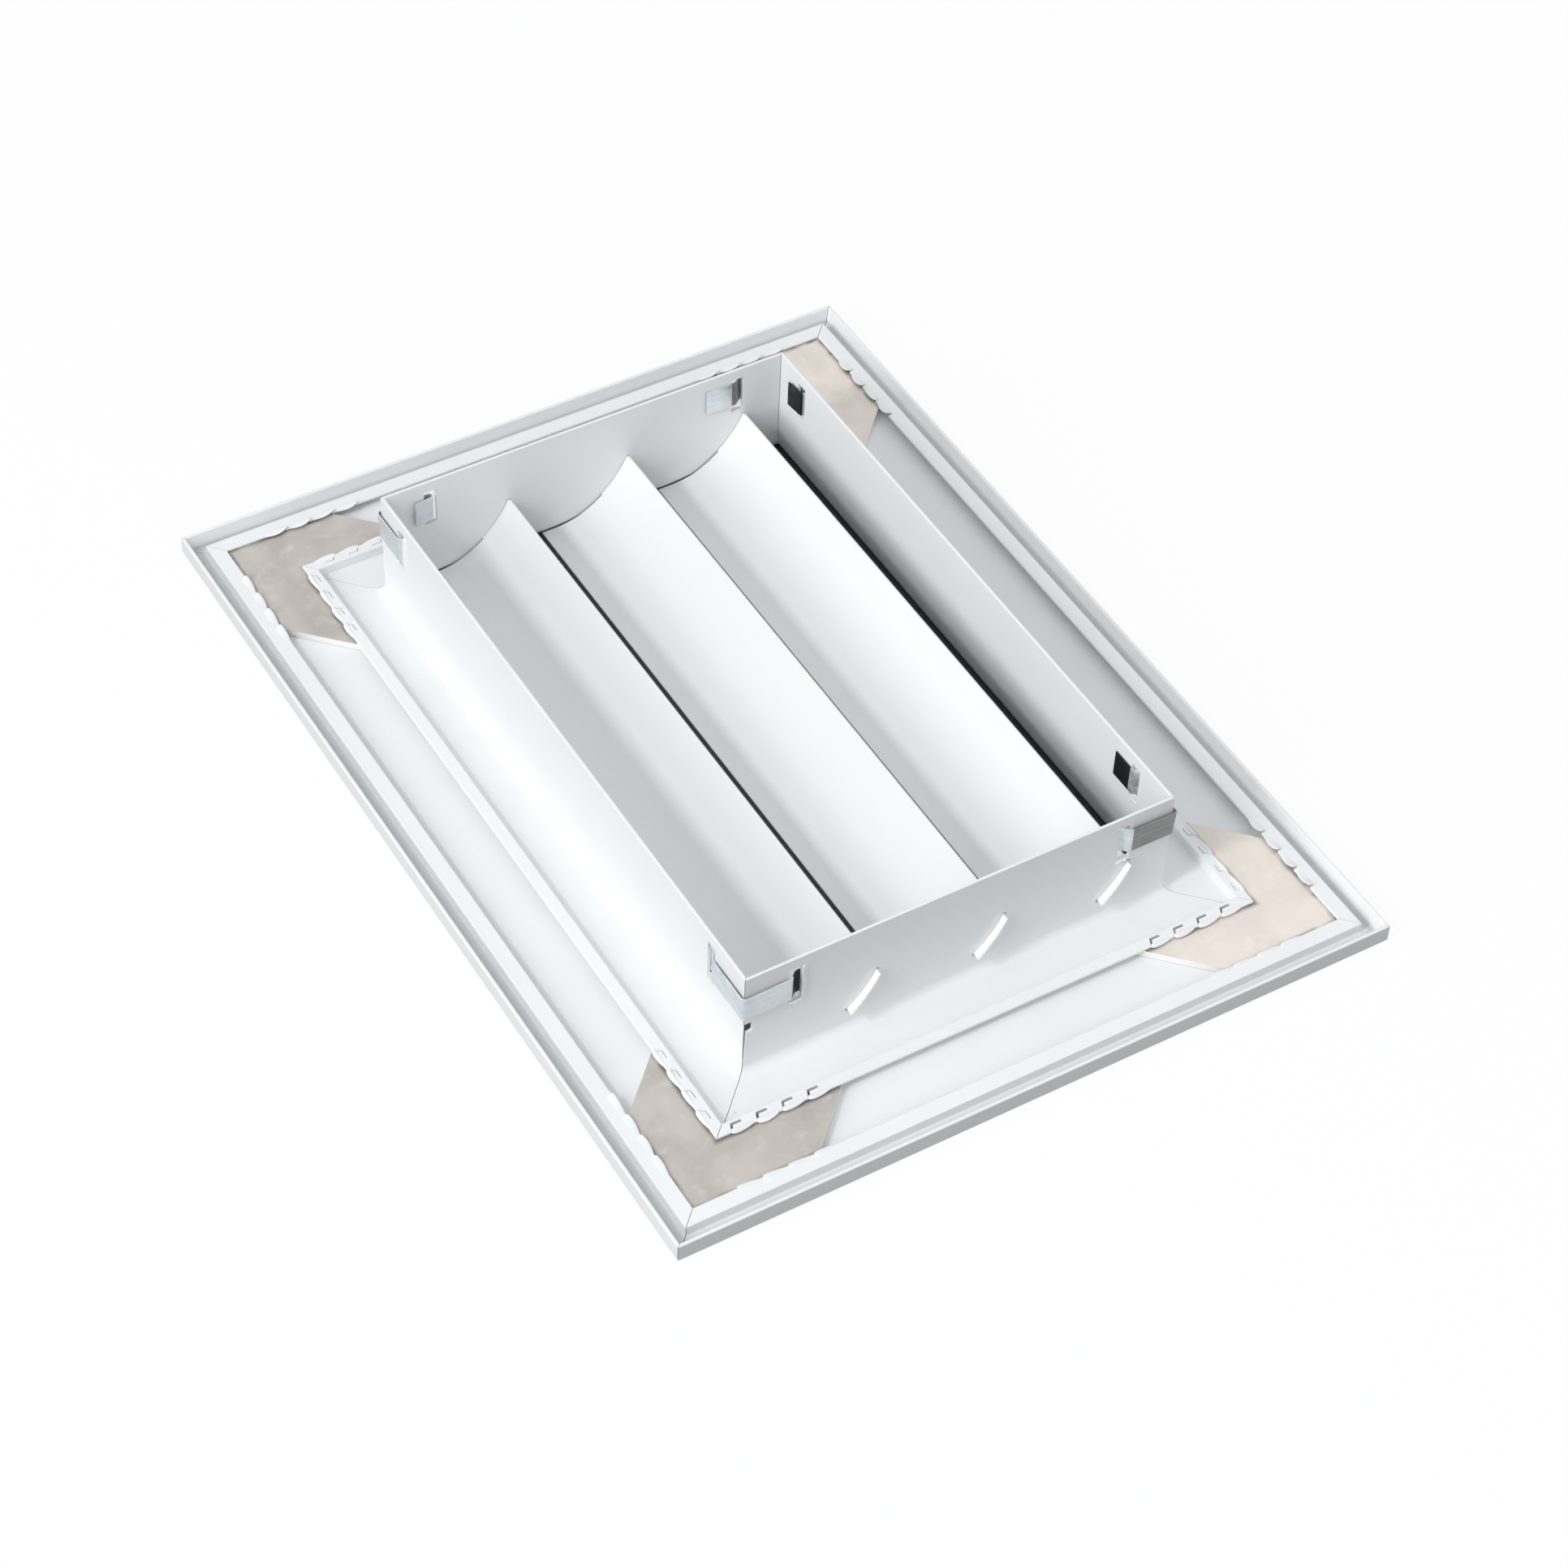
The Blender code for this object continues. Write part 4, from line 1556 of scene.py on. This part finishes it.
@dataclass
class Studio:
    """Pale floor, soft light from the upper left, and the camera."""

    section: Extrusion
    target: tuple[float, float, float] = (-0.00598, -0.03146, 0.0)
    distance: float = 1.92094
    azimuth: float = -32.457
    elevation: float = 46.671
    roll: float = 2.635
    lens: float = 93.16
    sensor: float = 36.0
    view_depth: float = 100.0
    floor_size: float = 12.0
    floor_drop: float = 0.0002
    floor_bounce: tuple[float, float, float] = (0.09, 0.077, 0.065)
    floor_seen: tuple[float, float, float] = (0.85, 0.85, 0.85)
    floor_white: float = 0.93
    # Dark grey painted shade for the floor under the grille.
    painted_shade_under: tuple[float, float, float] = (0.10, 0.10, 0.10)
    shade_under_inset: float = 0.0005
    shade_under_fade: float = 0.002
    sky: tuple[float, float, float] = (0.955, 0.98, 1.0)
    sky_low: float = 0.28
    sky_high: float = 0.76
    sky_rise: float = 0.9
    lamps: tuple[Lamp, ...] = (
        Lamp("key_light", (-2.40, -0.54, 2.50), 0.42, 34.0),
        Lamp("side_light", (-3.30, -0.58, 1.40), 2.0, 59.0),
        Lamp("front_fill", (-0.1, -1.9, 1.0), 1.4, 3.4),
        Lamp("right_fill", (1.75, -0.2, 0.95), 1.4, 6.0),
    )

    def camera(self) -> None:
        """Camera on a ray from the target, turned about its own axis by the roll."""
        az, el = math.radians(self.azimuth), math.radians(self.elevation)
        back = Vector((math.cos(el) * math.sin(az), -math.cos(el) * math.cos(az), math.sin(el)))
        data = bpy.data.cameras.new("camera")
        data.lens = self.lens
        data.sensor_width = self.sensor
        data.clip_end = self.view_depth
        camera = bpy.data.objects.new("camera", data)
        bpy.context.scene.collection.objects.link(camera)
        turn = back.to_track_quat("Z", "Y").to_matrix().to_4x4()
        spin = Matrix.Rotation(math.radians(self.roll), 4, "Z")
        spot = Vector(self.target) + back * self.distance
        camera.matrix_world = Matrix.Translation(spot) @ turn @ spin
        bpy.context.scene.camera = camera

    def seen_white(self, graph: NodeGraph) -> bpy.types.NodeSocket:
        """1 for what the camera, a reflection or a transparent surface sees, else 0.

        Args:
            graph: The nodes of the floor's material or of the world.

        Returns:
            The share of white.
        """
        rays = graph.add("LightPath").outputs
        share = rays["Is Camera Ray"]
        for kind in ("Is Glossy Ray", "Is Transmission Ray"):
            share = graph.add("Math", {0: share, 1: rays[kind]}, operation="MAXIMUM").outputs[0]
        return share

    def floor(self) -> None:
        """A wide floor, white to the eye but painted dark under the grille as shade, that takes the
        grille's shadow.
        """
        half = self.floor_size / 2
        span = np.linspace(-half, half, 2)
        x, y = np.meshgrid(span, span, indexing="ij")
        points = np.stack([x, y, np.full_like(x, -self.floor_drop)], axis=-1)
        obj = mesh_object("floor", points, grid_faces(2, 2))
        material = bpy.data.materials.new("floor_pale")
        graph = NodeGraph(material)
        seen = self.seen_white(graph)
        # Under the grille the floor gets painted shade and no white.
        inset = graph.inset(self.section.face_width, self.section.face_length)
        shaded_under = graph.ramp(inset, self.shade_under_inset, self.shade_under_inset + self.shade_under_fade)
        clear = graph.ramp(shaded_under, 0.0, 1.0, 1.0, 0.0)
        pale = graph.blend(seen, opaque(self.floor_bounce), opaque(self.floor_seen))
        colour = graph.blend(shaded_under, pale, opaque(self.painted_shade_under))
        matt = graph.add("BsdfDiffuse", {"Color": colour})
        white = graph.add("Emission", {"Color": opaque((1, 1, 1)), "Strength": 1.0})
        share = graph.times(graph.times(seen, clear), self.floor_white)
        mixed = graph.add("MixShader", {0: share, 1: matt.outputs[0], 2: white.outputs[0]})
        graph.add("OutputMaterial", {"Surface": mixed.outputs[0]})
        obj.data.materials.append(material)

    def world(self) -> None:
        """A soft sky that brightens evenly with height for light, and white where it is seen."""
        world = bpy.data.worlds.new("studio")
        bpy.context.scene.world = world
        graph = NodeGraph(world)
        way = graph.add("SeparateXYZ", {0: graph.add("TexCoord").outputs["Generated"]}).outputs["Z"]
        level = graph.ramp(way, 0.0, self.sky_rise, self.sky_low, self.sky_high)
        sky = graph.add("Background", {"Color": opaque(self.sky), "Strength": level})
        white = graph.add("Background", {"Color": opaque((1, 1, 1)), "Strength": 1.0})
        seen = self.seen_white(graph)
        mixed = graph.add("MixShader", {0: seen, 1: sky.outputs[0], 2: white.outputs[0]})
        graph.add("OutputWorld", {"Surface": mixed.outputs[0]})

    def hang(self, lamp: Lamp) -> None:
        """Hang a lamp and aim it at the grille.

        Args:
            lamp: The lamp.
        """
        data = bpy.data.lights.new(lamp.name, "AREA")
        data.size = lamp.size
        data.energy = lamp.power
        obj = bpy.data.objects.new(lamp.name, data)
        bpy.context.scene.collection.objects.link(obj)
        obj.location = lamp.spot
        obj.rotation_mode = "QUATERNION"
        obj.rotation_quaternion = Vector(lamp.spot).to_track_quat("Z", "Y")

    def build(self) -> None:
        """Set up the floor, the light, the camera and the view transform."""
        self.camera()
        self.floor()
        self.world()
        for lamp in self.lamps:
            self.hang(lamp)
        bpy.context.scene.view_settings.view_transform = "Standard"


def main() -> None:
    """Build and dress the grille, then the view."""
    logging.basicConfig(level=logging.INFO, format="%(message)s")
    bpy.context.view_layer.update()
    section = Extrusion()
    staking = Staking(section)
    blades = Blades(section)
    strips = NeckStrips(section)
    sides = FrameSides(section)
    edges = SlotEdges(section)
    keys = CornerKeys(section)
    sides.build(staking, blades, strips)
    staking.build()
    edges.build(strips)
    blades.build()
    strips.build()
    keys.build()
    paint = FRAME_PAINT.material(section)
    for part in (sides, staking, edges):
        part.dress(paint)
    blades.dress(BLADE_PAINT.material())
    strips.dress(ZINC.material())
    for corner, finish in DARKENED_ZINC.items():
        strips.dress(finish.material(), corner)
    keys.dress(GREY_PLATE.material(section))
    # The right keys get the brighter copy of the plate, as painted reflection.
    keys.dress(REFLECTING_PLATE.material(section), Corner.NEAR_RIGHT, Corner.FAR_RIGHT)
    Studio(section).build()


if __name__ == "__main__":
    main()
